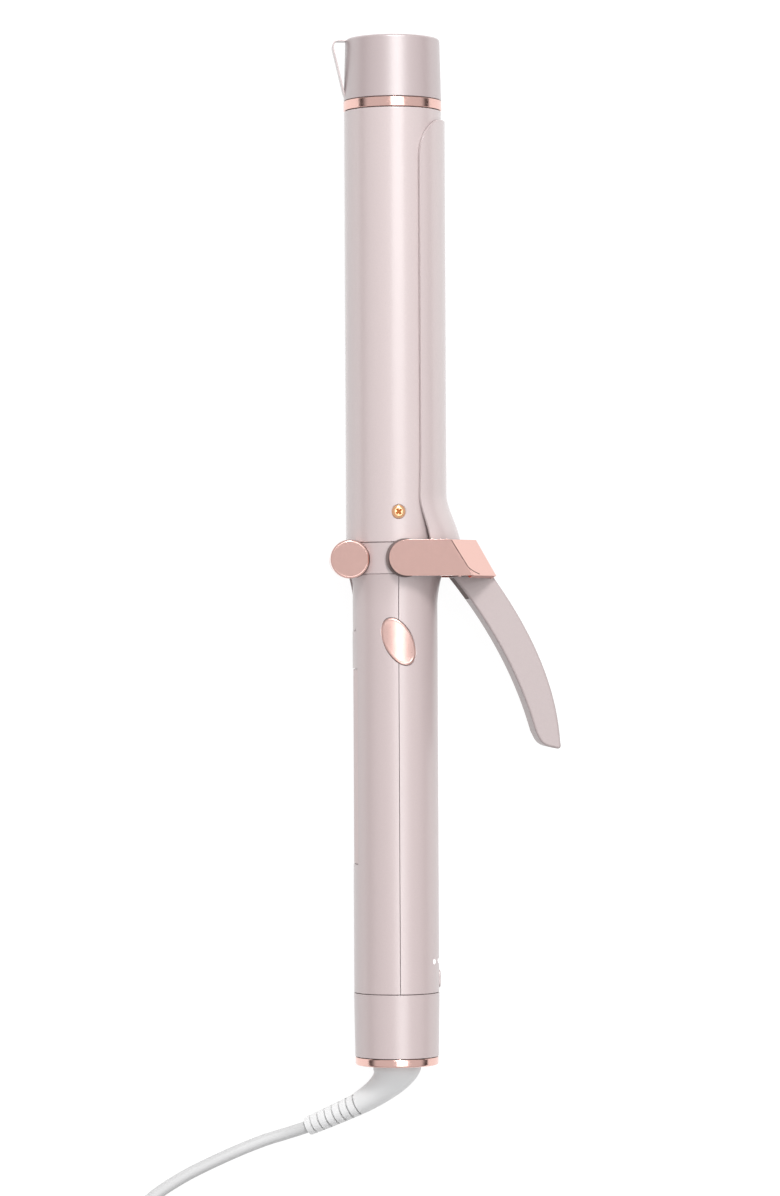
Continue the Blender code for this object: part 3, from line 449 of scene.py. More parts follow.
def add_noise(material, scale, detail=2.0, stretch=(1.0, 1.0, 1.0)):
    """A noise texture in object space, stretched along the axes."""
    nodes, links = material.node_tree.nodes, material.node_tree.links
    place = nodes.new("ShaderNodeTexCoord")
    mapping = nodes.new("ShaderNodeMapping")
    set_inputs(mapping, Scale=stretch)
    noise = nodes.new("ShaderNodeTexNoise")
    set_inputs(noise, Scale=scale, Detail=detail)
    links.new(place.outputs["Object"], mapping.inputs["Vector"])
    links.new(mapping.outputs["Vector"], noise.inputs["Vector"])
    return noise


def tint(material, noise, colour, low, high):
    """Vary the base colour by a noise, between two shares of itself."""
    ramp = material.node_tree.nodes.new("ShaderNodeValToRGB")
    for element, position, share in zip(ramp.color_ramp.elements, NOISE_SPREAD, (low, high)):
        element.position = position
        element.color = (*(min(1.0, c * share) for c in colour), 1.0)
    material.node_tree.links.new(noise.outputs["Fac"], ramp.inputs["Fac"])
    feed_shader(material, ramp.outputs["Color"], "Base Color")


def vary_roughness(material, noise, low, high):
    """Vary the roughness between two values by a noise."""
    fit = material.node_tree.nodes.new("ShaderNodeMapRange")
    set_inputs(fit, From_Min=NOISE_SPREAD[0], From_Max=NOISE_SPREAD[1], To_Min=low, To_Max=high)
    material.node_tree.links.new(noise.outputs["Fac"], fit.inputs["Value"])
    feed_shader(material, fit.outputs["Result"], "Roughness")


def bump(material, noise, strength, distance):
    """Raise the surface a little by a noise."""
    node = material.node_tree.nodes.new("ShaderNodeBump")
    set_inputs(node, Strength=strength, Distance=distance)
    material.node_tree.links.new(noise.outputs["Fac"], node.inputs["Height"])
    feed_shader(material, node.outputs["Normal"], "Normal")


def pearl(name, colour, roughness, coat, gloss=0.22, coat_ior=1.7):
    """Pearl finish: fine flakes under a hard, strongly reflecting lacquer."""
    material = new_material(name, colour, roughness, 0.0, Coat_Weight=coat, Coat_Roughness=gloss,
                            Coat_IOR=coat_ior, Specular_IOR_Level=0.5)
    flakes = add_noise(material, 3200.0, 1.0)
    tint(material, flakes, colour, 0.975, 1.025)
    bump(material, flakes, 0.06, 0.00001)
    return material


def polished(name, colour, roughness, grain=(1.0, 1.0, 1.0)):
    """Plated metal with faint polishing marks."""
    material = new_material(name, colour, roughness, 1.0)
    marks = add_noise(material, 900.0, 3.0, grain)
    vary_roughness(material, marks, roughness * 0.8, roughness * 1.3)
    bump(material, marks, 0.05, 0.00001)
    return material


def moulded(name, colour, roughness, texture_scale=1800.0, strength=0.25):
    """Moulded plastic or rubber with a fine spark-eroded texture."""
    material = new_material(name, colour, roughness)
    grain = add_noise(material, texture_scale, 2.0)
    cloud = add_noise(material, 60.0, 2.0)
    tint(material, cloud, colour, 0.97, 1.02)
    vary_roughness(material, cloud, roughness * 0.92, roughness * 1.08)
    bump(material, grain, strength, 0.00003)
    return material


# Each look: the function that makes it, its colour, its roughness and what else that function takes
RECIPES = {
    "pearl_barrel": (pearl, (0.485, 0.405, 0.401), 0.40, 1.0, 0.24),
    "pearl_plastic": (pearl, (0.450, 0.366, 0.362), 0.42, 1.0, 0.34, 1.85),
    "pearl_lever": (pearl, (0.385, 0.323, 0.320), 0.46, 0.15, 0.35),
    "pearl_gloss": (pearl, (0.365, 0.290, 0.290), 0.40, 1.0, 0.36, 2.2),
    "rose_gold": (polished, (0.84, 0.545, 0.485), 0.07),
    "rose_gold_bright": (polished, (0.84, 0.545, 0.485), 0.17),
    "rose_gold_satin": (polished, (0.78, 0.525, 0.475), 0.34, (3.0, 3.0, 3.0)),
    # The next look is painted shadow: the dark brown crescent that the yoke's ear casts on the collar.
    "washer": (moulded, (0.13, 0.095, 0.09), 0.6),
    # The next look is painted shade: the near-black brown of the lever's liner stands for its shadow.
    "liner_dark": (moulded, (0.10, 0.055, 0.045), 0.7),
    # The next look is painted shade at the bottom of the screws' cross recesses.
    "copper_dark": (polished, (0.30, 0.10, 0.03), 0.45),
    "copper": (polished, (0.90, 0.50, 0.28), 0.16),
    "steel": (polished, (0.58, 0.58, 0.60), 0.28),
    # The next look is painted shade for the dark line along the yoke's fold.
    "dark_steel": (polished, (0.11, 0.06, 0.05), 0.35),
    "plug_metal": (polished, (0.72, 0.66, 0.52), 0.22),
    "aluminium": (polished, (0.75, 0.75, 0.77), 0.4),
    "ceramic": (moulded, (0.85, 0.84, 0.80), 0.6, 900.0),
    "dark_plastic": (moulded, (0.03, 0.03, 0.032), 0.5),
    "board": (moulded, (0.03, 0.20, 0.09), 0.45),
    "sleeve": (moulded, (0.04, 0.06, 0.20), 0.3),
    "lead_jacket": (moulded, (0.70, 0.68, 0.62), 0.6),
    "clear": (new_material, (0.95, 0.95, 0.95), 0.12),
    "label": (moulded, (0.60, 0.49, 0.48), 0.38),
    "white_rubber": (moulded, (0.67, 0.67, 0.67), 0.42, 1500.0, 0.2),
    "cord_jacket": (moulded, (0.50, 0.50, 0.50), 0.38, 1200.0, 0.2),
    "tie_weave": (moulded, (0.05, 0.05, 0.055), 0.85, 1400.0, 1.0),
}
LOOKS = {name: make(name, *values) for name, (make, *values) in RECIPES.items()}
LOOKS["light_dot"] = new_material("light_dot", (0.95, 0.95, 0.95), 0.25, Emission_Strength=0.55,
                                  Emission_Color=WHITE)


# ---- cord

# The cord's centre line where it isn't coiled, from the boot to the coil and from the coil to the plug
LEAD_ROUTE = [
    (-0.0287, -0.1869, 0.00505),
    (-0.0322, -0.1882, 0.00362),
    (-0.0365, -0.1896, 0.00255),
    (-0.0427, -0.1915, 0.00208),
    (-0.0516, -0.1949, 0.00205),
    (-0.0616, -0.1993, 0.00205),
    (-0.0696, -0.2033, 0.00205),
    (-0.0785, -0.2089, 0.00210),
    (-0.0863, -0.2158, 0.00235),
    (-0.0898, -0.2196, 0.00250),
]
TAIL_ROUTE = [
    (-0.1037, -0.2534, 0.01300),
    (-0.1009, -0.2635, 0.01100),
    (-0.0951, -0.2724, 0.00860),
    (-0.0864, -0.2794, 0.00600),
    (-0.0760, -0.2836, 0.00390),
    (-0.0653, -0.2847, 0.00250),
    (-0.0546, -0.2836, 0.00210),
    (-0.0443, -0.2809, 0.00260),
    (-0.0353, -0.2774, 0.00430),
    (-0.0280, -0.2743, 0.00610),
]


def boot_point(reach, y, side=0.0):
    """A point of the boot: reach is along its dip from the axis, side is across it."""
    level, drop = cos(BOOT_DIP), sin(BOOT_DIP)
    return at(-reach * level + side * drop, y, -reach * drop - side * level)


def around_coil(degrees, radius, z):
    """A point beside the coil's axis."""
    angle = radians(degrees)
    return (COIL_CENTRE[0] + radius * cos(angle), COIL_CENTRE[1] + radius * sin(angle), z)


def coil_points():
    """The turns: each layer is a flat spiral of three turns, then the cord steps up to the next."""
    turns, climb, per_turn, start = 3.0, 0.3, 24, 180.0
    points, angle, z = [], start, COIL_Z0 + CORD_R
    for layer in range(COIL_LAYERS):
        first, last = (COIL_OUTER, COIL_INNER) if layer % 2 == 0 else (COIL_INNER, COIL_OUTER)
        count = round(turns * per_turn)
        for step in range(count):
            radius = first + (last - first) * step / count
            points.append(around_coil(angle + 360.0 * turns * step / count, radius, z))
        angle += 360.0 * turns
        if layer < COIL_LAYERS - 1:
            count = round(climb * per_turn)
            for step in range(count):
                share = step / count
                rise = COIL_PITCH * (3 - 2 * share) * share ** 2
                points.append(around_coil(angle + 360.0 * climb * share, last, z + rise))
            angle += 360.0 * climb
            z += COIL_PITCH
    points.append(around_coil(angle, last, z))
    return points, angle, z


def cord_path():
    """The whole centre line from inside the boot to inside the plug."""
    inside = [boot_point(22.8e-3, -183.0e-3), boot_point(27.6e-3, -185.05e-3)]
    bend_centre, bend_r = (-54.65e-3, COIL_CENTRE[1]), 45.0e-3
    entry = []
    for degrees in (150.0, 160.0, 170.0):
        angle = radians(degrees)
        share = (degrees - 141.0) / 39.0
        entry.append((bend_centre[0] + bend_r * cos(angle), bend_centre[1] + bend_r * sin(angle),
                      2.5e-3 + share * (COIL_Z0 + CORD_R - 2.5e-3)))
    turns, angle, z = coil_points()
    leave = [around_coil(angle + 12.0, COIL_OUTER + 0.7e-3, z),
             around_coil(angle + 28.0, COIL_OUTER + 2.8e-3, z - 0.7e-3)]
    plug_end = [(-0.0225, -0.2719, 0.00620)]
    return smooth_path(inside + LEAD_ROUTE + entry + turns + leave + TAIL_ROUTE + plug_end, 2.2e-3)


def make_cord(plug_pieces):
    """One cord from the boot to the plug. Near the boot it follows the boot's turn."""
    path = cord_path()
    cord = tube(path, CORD_R, 16)
    present(cord, "power_cord", "cord_jacket", ("cord_lead", "cord_coil", "cord_tail"),
            body=None, smooth=60.0)
    return cord


# ---- barrel and tip

def hinge_cutter():
    """The room that the clamp's hinge boss needs in its neighbours."""
    return rod(BOSS_R + 0.06e-3, -20.0e-3, 20.0e-3, (HINGE_X, 0.0, 0.0), "Z", 96)


def disc_cutter():
    """The round seat of the stand's front disc."""
    return rod(STAND_DISC_R + 0.35e-3, 7.9e-3, 20.0e-3, STAND_AXIS, "Z", 96)


def stand_cutter():
    """The room that the stand's hinge needs in its neighbours."""
    return rod(STAND_BOSS_R + 0.2e-3, -20.0e-3, 20.0e-3, STAND_AXIS, "Z", 72)


def make_barrel():
    """The heated tube, with flat seats for its two screws."""
    low, high = BARREL_Y[0] - FINE_GAP, BARREL_Y[1] + FINE_GAP
    wall = 1.0e-3
    profile = fillet([(BARREL_R, high), (BARREL_R, low), (BARREL_R - wall, low), (BARREL_R - wall, high)],
                     [0.3e-3, 0.3e-3, 0.15e-3, 0.15e-3])
    barrel = lathe(profile, sides=160)
    y = middle("barrel_screw_front", 1)
    seats = [rod(2.5e-3, *sorted((side * 15.45e-3, side * 20.0e-3)), (0.0, y, 0.0), "Z", 40)
             for side in (1, -1)]
    holes = rod(1.4e-3, -20.0e-3, 20.0e-3, (0.0, y, 0.0), "Z", 32)
    carve(barrel, hinge_cutter(), disc_cutter(), stand_cutter(), *seats, holes)
    present(barrel, "barrel", "pearl_barrel", "barrel_tube")


def make_barrel_screws():
    """Pan-head screws with a cross recess."""
    for name, axis, side in (("barrel_screw_front", "Z", 1), ("barrel_screw_back", "-Z", -1)):
        y = middle(name, 1)
        centre = (0.0, y, side * 15.5e-3)
        profile = [(0.0, 0.85e-3), (1.35e-3, 0.80e-3), (2.25e-3, 0.40e-3), (2.25e-3, 0.0), (1.1e-3, 0.0),
                   (1.1e-3, -3.6e-3), (0.0, -3.6e-3)]
        head = turned(profile, [0, 0.5e-3, 0.2e-3, 0.1e-3, 0, 0, 0], axis, centre, 48)
        for turn in (38.0, 128.0):
            slot = box((-1.1e-3, -0.40e-3, -0.35e-3), (1.1e-3, 0.40e-3, 3.15e-3))
            carve(head, move(slot, Matrix.Translation(at(*centre)) @ TURN_TO[axis]
                             @ Matrix.Rotation(radians(turn), 4, "Z")))
        soften(head, 0.06e-3, 2, 50.0)
        present(head, name + "_detail", "copper", name)
        # A dark disc below the cross recess paints the shade inside it.
        pit = rod(1.28e-3, -0.2e-3, 0.32e-3, centre, axis, 32)
        present(pit, name + "_recess_shade", "copper_dark", None)


def make_tip():
    """Cool tip with a rounded rim, and the polished ring under it."""
    low, high = TIP_Y[0] - FINE_GAP, TIP_Y[1]
    tip = turned([(0.0, high), (15.45e-3, high), (15.95e-3, low), (13.2e-3, low), (13.2e-3, high - 2.2e-3),
                  (0.0, high - 2.2e-3)], [0, 0.9e-3, 0.2e-3, 0.2e-3, 0.5e-3, 0], sides=160, steps=6)
    present(tip, "cool_tip_shell", "pearl_gloss", "cool_tip")
    low, high = RING_Y
    profile = fillet([(RING_R, high), (RING_R, low), (11.0e-3, low), (11.0e-3, high)], 0.22e-3)
    present(lathe(profile, sides=160), "tip_ring_band", "rose_gold_bright", "tip_ring")


def make_tip_rest():
    """The thin loop that keeps the hot end off the table: a bent strip with round corners."""
    corners = [(-15.3e-3, 149.95e-3), (-16.15e-3, 152.5e-3), (-19.7e-3, 167.4e-3),
               (-18.8e-3, 169.25e-3), (-14.6e-3, 169.2e-3)]
    path = fillet(corners, [0, 9.0e-3, 2.6e-3, 1.2e-3, 0], closed=False, steps=8)
    half = 2.2e-3
    widths = [-1.0, -0.92, -0.5, 0.0, 0.5, 0.92, 1.0]
    rows = [[at(x, y, half * share) for share in widths] for x, y in path]
    strip = thicken(sheet(rows), 0.5e-3, 0.0)
    soften(strip, 0.15e-3, 2, 50.0)
    present(strip, "tip_rest_loop", "pearl_plastic", "tip_rest")


# ---- collar and stand

def make_collar():
    """The block between barrel and handle, with its round bosses."""
    low, high = COLLAR_Y[0] - FINE_GAP, COLLAR_Y[1] + FINE_GAP
    collar = turned([(0.0, high), (HANDLE_TOP_R, high), (HANDLE_TOP_R, low), (0.0, low)],
                    [0, 0.15e-3, 0.15e-3, 0], sides=144)
    for side in (1, -1):
        boss = turned([(0.0, 0.0), (BOSS_R, 0.0), (BOSS_R, -7.0e-3), (0.0, -7.0e-3)], [0, 0.45e-3, 0, 0],
                      "Z" if side > 0 else "-Z", (HINGE_X, 0.0, side * (EAR_IN - 0.15e-3)), 96)
        carve(collar, boss, operation="UNION")
    carve(collar, rod(STAND_BOSS_R, -8.0e-3, 8.0e-3, STAND_AXIS, "Z", 72), operation="UNION")
    room = rod(4.6e-3, -6.3e-3, 6.3e-3, STAND_AXIS)
    carve(room, box((-29.0e-3, -10.0e-3, -4.35e-3), (-11.25e-3, 0.2e-3, 4.35e-3)),
          box((-29.0e-3, -9.0e-3, -6.25e-3), (STAND_X - 0.3e-3, 9.5e-3, 6.25e-3)), operation="UNION")
    carve(collar, disc_cutter(), rod(4.7e-3, -20.0e-3, -7.9e-3, STAND_AXIS, "Z", 72), room,
          rod(1.8e-3, -12.0e-3, 12.0e-3, STAND_AXIS))
    soften(collar, 0.12e-3, 2, 60.0)
    # Dark discs set a little off the hinge, so that only a crescent shows: painted shadow of the yoke's ear
    # on the collar.
    for name, side in (("hinge_painted_shadow_front", 1), ("hinge_painted_shadow_back", -1)):
        low, high = sorted((side * 15.6e-3, side * (EAR_IN - 0.06e-3)))
        washer = rod(6.3e-3, low, high, (HINGE_X - 0.45e-3, -0.3e-3, 0.0), "Z", 72)
        present(washer, name, "washer", None)
    present(collar, "pivot_collar_block", "pearl_plastic", "pivot_collar")


def make_stand():
    """Round bright discs on the stand's axle, and its folded leg, flush with the handle."""
    for name, axis, side in (("stand_disc_front", "Z", 1), ("stand_disc_back", "-Z", -1)):
        inner, outer = sorted(abs(edge - AXIS_Z) for edge in span(name, 2))
        radius = half_span(name, 0)
        disc = turned([(0.0, outer), (radius - 0.55e-3, outer), (radius, outer - 0.3e-3), (radius, inner),
                       (0.0, inner)], [0, 0.35e-3, 0.2e-3, 0.2e-3, 0], axis, STAND_AXIS, 96)
        present(disc, name + "_cap", "rose_gold", name, body="stand")
    hub = rod(4.2e-3, -6.0e-3, 6.0e-3, STAND_AXIS, "Z", 64)
    rings = []
    for y in (-1.0e-3, -21.5e-3, -22.9e-3, -23.6e-3, -23.75e-3):
        half = 4.1e-3 - max(0.0, -21.5e-3 - y) ** 2 / 8.0e-3
        ring = []
        for radius, order in ((HANDLE_R - 0.1e-3, 1), (HANDLE_R - 1.9e-3, -1)):
            for step in range(13):
                w = order * half * (step / 6 - 1)
                ring.append(at(-sqrt(radius ** 2 - w ** 2), y, w))
        rings.append(ring)
    carve(hub, loft(rings), operation="UNION")
    soften(hub, 0.3e-3, 3, 45.0)
    present(hub, "stand_leg_plate", "pearl_plastic", "stand_leg", body="stand")


# ---- clamp

def plate_half_angle(y):
    """Half of the arc that the clamp plate spans at y: rounded at its tip, wider at its neck."""
    full, neck, corner = radians(64), radians(69), 12.8e-3
    from_tip = PLATE_Y1 - y
    if from_tip < corner:
        share = sqrt(max(0.0, 1 - (1 - from_tip / corner) ** 2))
        return full * (0.42 + 0.58 * share)
    if y > 35.0e-3:
        return full
    share = min(1.0, (35.0e-3 - y) / 28.0e-3)
    return full + (neck - full) * share ** 2


def plate_lift(y):
    """How far the plate is bent away from the barrel at y."""
    share = min(1.0, max(0.0, (21.0e-3 - y) / 17.5e-3))
    return 4.56e-3 * share ** 2 * (3 - 2 * share)


def make_clamp_plate():
    """The thin curved plate, with rounded edges and an outward bend at its neck."""
    corner = 12.8e-3
    stations = [PLATE_Y1 - corner * (1 - cos(pi / 2 * s / 14)) for s in range(15)]
    stations += [0.115, 0.095, 0.075, 0.055, 0.045]
    stations += [0.036 - 1.0e-3 * s for s in range(41)]
    rows = [[point + Vector((plate_lift(y), 0.0, 0.0))
             for point in wall_arc(PLATE_R, y, plate_half_angle(y), 40, 1)] for y in stations]
    plate = thicken(sheet(rows), PLATE_T, 1.0)
    keep_outward(plate, "clamp_plate")
    soften(plate, 0.3e-3, 3, 50.0)
    present(plate, "clamp_plate_shell", "pearl_barrel", "clamp_plate", body="clamp")


def keep_outward(obj, node):
    """Stop the script if a thickened sheet grew to the wrong side of its CAD node."""
    xs = [v.co.x for v in obj.data.vertices]
    assert max(xs) < span(node, 0)[1] + 0.4e-3, node + " grew outward"


def crease_x(share):
    """Where the yoke's flat face folds."""
    return 16.7e-3 + 7.2e-3 * share


def front_x(share):
    """Where the yoke's front stands."""
    return 26.1e-3 + 6.6e-3 * share


def yoke_section(share):
    """The yoke's outer surface at a share of the way from its tip side to its handle side."""
    y = YOKE_TOP + (YOKE_LOW - YOKE_TOP) * share
    crease, front = crease_x(share), front_x(share)
    half = (YOKE_TOP - YOKE_LOW) / 2
    start = HINGE_X - sqrt(max(0.0, half ** 2 - (y - (YOKE_TOP + YOKE_LOW) / 2) ** 2))
    half_path = [(start, EAR_OUT), (crease, EAR_OUT), (front - 0.4e-3, 9.3e-3), (front, 7.8e-3)]
    path = half_path + [(x, -w) for x, w in reversed(half_path)]
    rounding = [0, 0.4e-3, 1.0e-3, 1.0e-3]
    bent = fillet(path, rounding + rounding[::-1], closed=False, steps=3)
    return [at(x, y, w) for x, w in bent]


def make_yoke():
    """The polished strap whose two ears turn on the collar."""
    count = 24
    shares = [(1 - cos(pi * step / count)) / 2 for step in range(count + 1)]
    rows = [yoke_section(share) for share in shares]
    yoke = thicken(sheet(rows), 2.0e-3, -1.0)
    keep_outward(yoke, "clamp_yoke")
    soften(yoke, 0.5e-3, 5, 55.0)
    present(yoke, "clamp_yoke_strap", "rose_gold", "clamp_yoke", body="clamp")
    # Thin dark tubes along each fold of the yoke are painted shade in the crease.
    for name, side in (("yoke_fold_painted_shade_front", 1), ("yoke_fold_painted_shade_back", -1)):
        line = []
        for step in range(25):
            share = 0.02 + 0.94 * step / 24
            hook = 2.6e-3 * max(0.0, (share - 0.74) / 0.22) ** 2
            slope = (EAR_OUT - 9.3e-3) / (front_x(share) - 0.4e-3 - crease_x(share))
            line.append(at(crease_x(share) + hook, YOKE_TOP + (YOKE_LOW - YOKE_TOP) * share,
                           side * (EAR_OUT - 0.05e-3 - slope * hook)))
        present(tube(line, 0.14e-3, 10), name, "dark_steel", None, body="clamp")


def lever_inner_edge(count):
    """The lever's edge that faces the handle, from its end to its root."""
    return bezier((45.2e-3, -57.0e-3), (38.0e-3, -31.0e-3), (18.6e-3, -6.5e-3), count)


def make_lever():
    """The thumb lever: flat sides, soft edges, a round inner corner at its end."""
    half = half_span("clamp_lever", 2)
    outer = bezier((32.6e-3, -7.9e-3), (51.8e-3, -35.4e-3), (53.3e-3, -60.0e-3), 26)
    inner = lever_inner_edge(26)
    end = fillet([outer[-1], (53.7e-3, -62.9e-3), (47.4e-3, -61.4e-3), inner[0]],
                 [0, 1.3e-3, 6.0e-3, 0], closed=False, steps=9)[1:-1]
    body = prism(outer + end + inner + [(18.6e-3, -4.0e-3), (30.1e-3, -4.0e-3)], -half, half)
    soften(body, 0.8e-3, 5, 50.0)
    carve(body, box((15.0e-3, YOKE_LOW - 0.15e-3, -20.0e-3), (36.0e-3, 2.0e-3, 20.0e-3)))
    soften(body, 0.08e-3, 2, 70.0)
    tongue = prism([(22.2e-3, 5.2e-3), (23.2e-3, 5.2e-3), (29.0e-3, -6.9e-3), (22.6e-3, -6.9e-3)],
                   -6.9e-3, 6.9e-3)
    seat = prism(liner_outline(-1.0e-3, 1.1e-3, 0.1e-3), -6.9e-3, 6.9e-3)
    carve(body, tongue, operation="UNION")
    carve(body, seat)
    present(body, "clamp_lever_body", "pearl_lever", "clamp_lever", body="clamp")


def liner_outline(low, high, extra):
    """A strip along the root of the lever's inner edge, between two depths below that edge."""
    start, end = Vector((18.95e-3, -6.6e-3)), Vector((23.8e-3, -13.4e-3))
    along = (end - start).normalized()
    inward = Vector((-along.y, along.x))
    start, end = start - along * extra, end + along * extra
    return [tuple(start + inward * low), tuple(end + inward * low),
            tuple(end + inward * high), tuple(start + inward * high)]


def make_liner():
    """The metal strip let into the lever's inner face; its near-black brown is painted shade on a face
    turned from the light.
    """
    liner = prism(liner_outline(0.05e-3, 1.05e-3, 0.0), -6.8e-3, 6.8e-3)
    soften(liner, 0.2e-3, 2, 50.0)
    present(liner, "lever_liner_strip", "liner_dark", "lever_liner", body="clamp")


# ---- handle

def handle_radius(y):
    """The handle's outer radius, which flares towards the collar."""
    share = min(1.0, max(0.0, (HANDLE_Y[1] - y) / FLARE))
    return HANDLE_R + (HANDLE_TOP_R - HANDLE_R) * (1 - share) ** 2


def half_shell(side):
    """One of the two moulded shells, with a fine gap at the seam."""
    low, high = HANDLE_Y[0] - FINE_GAP, HANDLE_Y[1] + FINE_GAP
    wall = 2.0e-3
    stations = [high, high - 0.12e-3]
    stations += [high - FLARE * s / 16 for s in range(1, 17)]
    stations += [high - FLARE - 12.0e-3 * s for s in range(1, 11)] + [low + 0.15e-3, low]
    loops = []
    for y in stations:
        edge = 0.12e-3 if y in (low, high) else 0.0
        loop = []
        for radius, order in ((handle_radius(y) - edge, 1), (handle_radius(y) - wall, -1)):
            loop += wall_arc(radius, y, order * acos(SEAM / 2 / radius), 64, side)
        loops.append(loop)
    return loft(loops)


def badge_outline(grow):
    """The badge's leaning oval."""
    half_long, half_short, lean = 8.3e-3 + grow, 4.7e-3 + grow, radians(27)
    points = []
    for step in range(72):
        angle = tau * step / 72
        along, across = half_long * cos(angle), half_short * sin(angle)
        points.append((across * cos(lean) - along * sin(lean),
                       -27.4e-3 + across * sin(lean) + along * cos(lean)))
    return points


def badge_cutter():
    """The badge's seat, which both shells share."""
    return prism(badge_outline(0.22e-3), 12.6e-3, 20.0e-3)


def make_handle():
    """Both shells with the seat of the badge, the button's opening and the stand's recess."""
    button = button_solid(0.22e-3, 5.0e-3, 20.0e-3)
    clamp_side = half_shell(1)
    carve(clamp_side, hinge_cutter(), badge_cutter(), button)
    present(clamp_side, "handle_shell_clamp_half", "pearl_plastic", "handle_shell_clamp_side")
    rear = half_shell(-1)
    low, high = span("rating_plate", 1)
    recess = curved_block(HANDLE_R - 0.8e-3, 3.0e-3, low - 0.25e-3, high + 0.25e-3, radians(23.0))
    carve(rear, hinge_cutter(), disc_cutter(), stand_cutter(), badge_cutter(), recess,
          box((-30.0e-3, -23.9e-3, -4.25e-3), (-11.4e-3, 0.0, 4.25e-3)))
    present(rear, "handle_shell_rear_half", "pearl_plastic", "handle_shell_rear_side")


def curved_block(radius, thickness, y_low, y_high, half_angle):
    """A piece of a tube's wall at the handle's rear, from radius outward."""
    top = radius + thickness
    return loft([wall_arc(radius, y, -half_angle, 24, -1) + wall_arc(top, y, half_angle, 24, -1)
                 for y in (y_low, y_high)])


def make_rating_plate():
    """A blank satin plate in the rear shell's recess."""
    low, high = span("rating_plate", 1)
    plate = curved_block(HANDLE_R - 0.8e-3, 0.62e-3, low, high, radians(22.2))
    soften(plate, 0.15e-3, 2, 50.0)
    present(plate, "rating_plate_blank", "label", "rating_plate")


def make_badge():
    """A plain oval badge: a raised rim round a slightly sunken satin field, with no mark."""
    outline = [Vector(point) for point in badge_outline(0.0)]
    centre = (outline[0] + outline[36]) / 2
    levels = [(1.0, 0.30e-3), (0.975, 0.08e-3), (0.93, 0.0), (0.90, 0.0)]
    levels += [(share, 0.12e-3) for share in (0.875, 0.7, 0.5, 0.3, 0.1)]
    rings = [[at(x, y, 12.7e-3) for x, y in outline]]
    for share, drop in levels:
        ring = []
        for x, y in (centre + (point - centre) * share for point in outline):
            crown = HANDLE_R - sqrt(HANDLE_R ** 2 - x ** 2)
            ring.append(at(x, y, HANDLE_R + 0.22e-3 - drop - crown))
        rings.append(ring)
    present(loft(rings), "badge_oval", "rose_gold_satin", "badge")


def make_lights():
    """Five small round windows of the light guide."""
    y = middle("led_light_guide", 1)
    for index, degrees in enumerate((-33.0, -16.5, 0.0, 16.5, 33.0)):
        profile = [(0.0, 0.14e-3), (0.45e-3, 0.12e-3), (0.75e-3, 0.04e-3), (0.85e-3, -0.08e-3),
                   (0.85e-3, -1.4e-3), (0.0, -1.4e-3)]
        dot = lathe(profile, "Z", closed=False, sides=28)
        angle = radians(degrees)
        place = at(HANDLE_R * cos(angle), y, HANDLE_R * sin(angle))
        move(dot, Matrix.Translation(place) @ Matrix.Rotation(radians(90) - angle, 4, "Y"))
        present(dot, f"light_dot_{index + 1}", "light_dot", None)


def button_solid(grow, low, high):
    """The button's rounded outline as a solid along X."""
    y = middle("power_button", 1)
    outline = rounded_rectangle(2.9e-3 + grow, 1.9e-3 + grow, 1.6e-3, 8)
    return loft([[at(x, y + along, across) for along, across in outline] for x in (low, high)])


def make_button():
    """The power button, its top rounded to the handle's curve."""
    low, high = span("power_button", 0)
    button = button_solid(0.0, low, high)
    soften(button, 0.35e-3, 3, 50.0)
    present(button, "power_button_cap", "pearl_plastic", "power_button", body="button")


def make_handle_end():
    """End cap and polished end ring."""
    low, high = CAP_Y[0] - FINE_GAP, CAP_Y[1]
    profile = fillet([(13.98e-3, high), (13.65e-3, low), (11.6e-3, low), (11.9e-3, high)],
                     [0.15e-3, 0.2e-3, 0.1e-3, 0.1e-3])
    cap = lathe(profile, sides=144)
    web = [(12.2e-3, -155.4e-3), (12.2e-3, -157.4e-3), (6.3e-3, -157.4e-3), (6.3e-3, -155.4e-3)]
    carve(cap, lathe(web, sides=144), operation="UNION")
    present(cap, "end_cap_shell", "pearl_plastic", "end_cap")
    low, high = END_RING_Y[0], END_RING_Y[1] + FINE_GAP
    profile = fillet([(END_RING_R - 0.1e-3, high), (END_RING_R, high - 0.2e-3), (END_RING_R - 0.1e-3, low),
                      (8.2e-3, low), (8.2e-3, high)], [0.05e-3, 0.1e-3, 0.6e-3, 0.3e-3, 0.1e-3])
    present(lathe(profile, sides=144), "end_ring_band", "rose_gold_bright", "end_ring")


# ---- boot and plug

# Sections of the boot: reach and y of the centre, tilt in degrees, half width
BOOT_SECTIONS = [
    (0.0, -160.9e-3, 0.0, 7.85e-3),
    (0.0, -166.6e-3, 0.0, 7.85e-3),
    (0.7e-3, -169.0e-3, 8.0, 7.0e-3),
    (2.8e-3, -171.5e-3, 19.0, 5.95e-3),
    (6.1e-3, -174.2e-3, 32.0, 4.9e-3),
    (10.2e-3, -176.9e-3, 44.0, 4.2e-3),
    (14.6e-3, -179.3e-3, 60.0, 3.65e-3),
    (22.8e-3, -183.0e-3, 67.0, 3.4e-3),
    (*BOOT_END, 67.0, 3.1e-3),
]


def make_boot():
    """The strain relief: a horn with cross slots that let its thin end bend."""
    knots = [Vector((reach, y, radians(tilt), half)) for reach, y, tilt, half in BOOT_SECTIONS]
    rings = []
    for reach, y, tilt, half in curve_through(knots, 6):
        ring = []
        for step in range(40):
            angle = tau * step / 40
            across = half * cos(angle)
            ring.append(boot_point(reach + across * cos(tilt), y + across * sin(tilt),
                                   half * sin(angle)))
        rings.append(ring)
    boot = loft(rings)
    boot_slots(boot)
    soften(boot, 0.18e-3, 2, 55.0)
    present(boot, "cord_boot_horn", "white_rubber", "cord_boot", body="swivel", smooth=50.0)


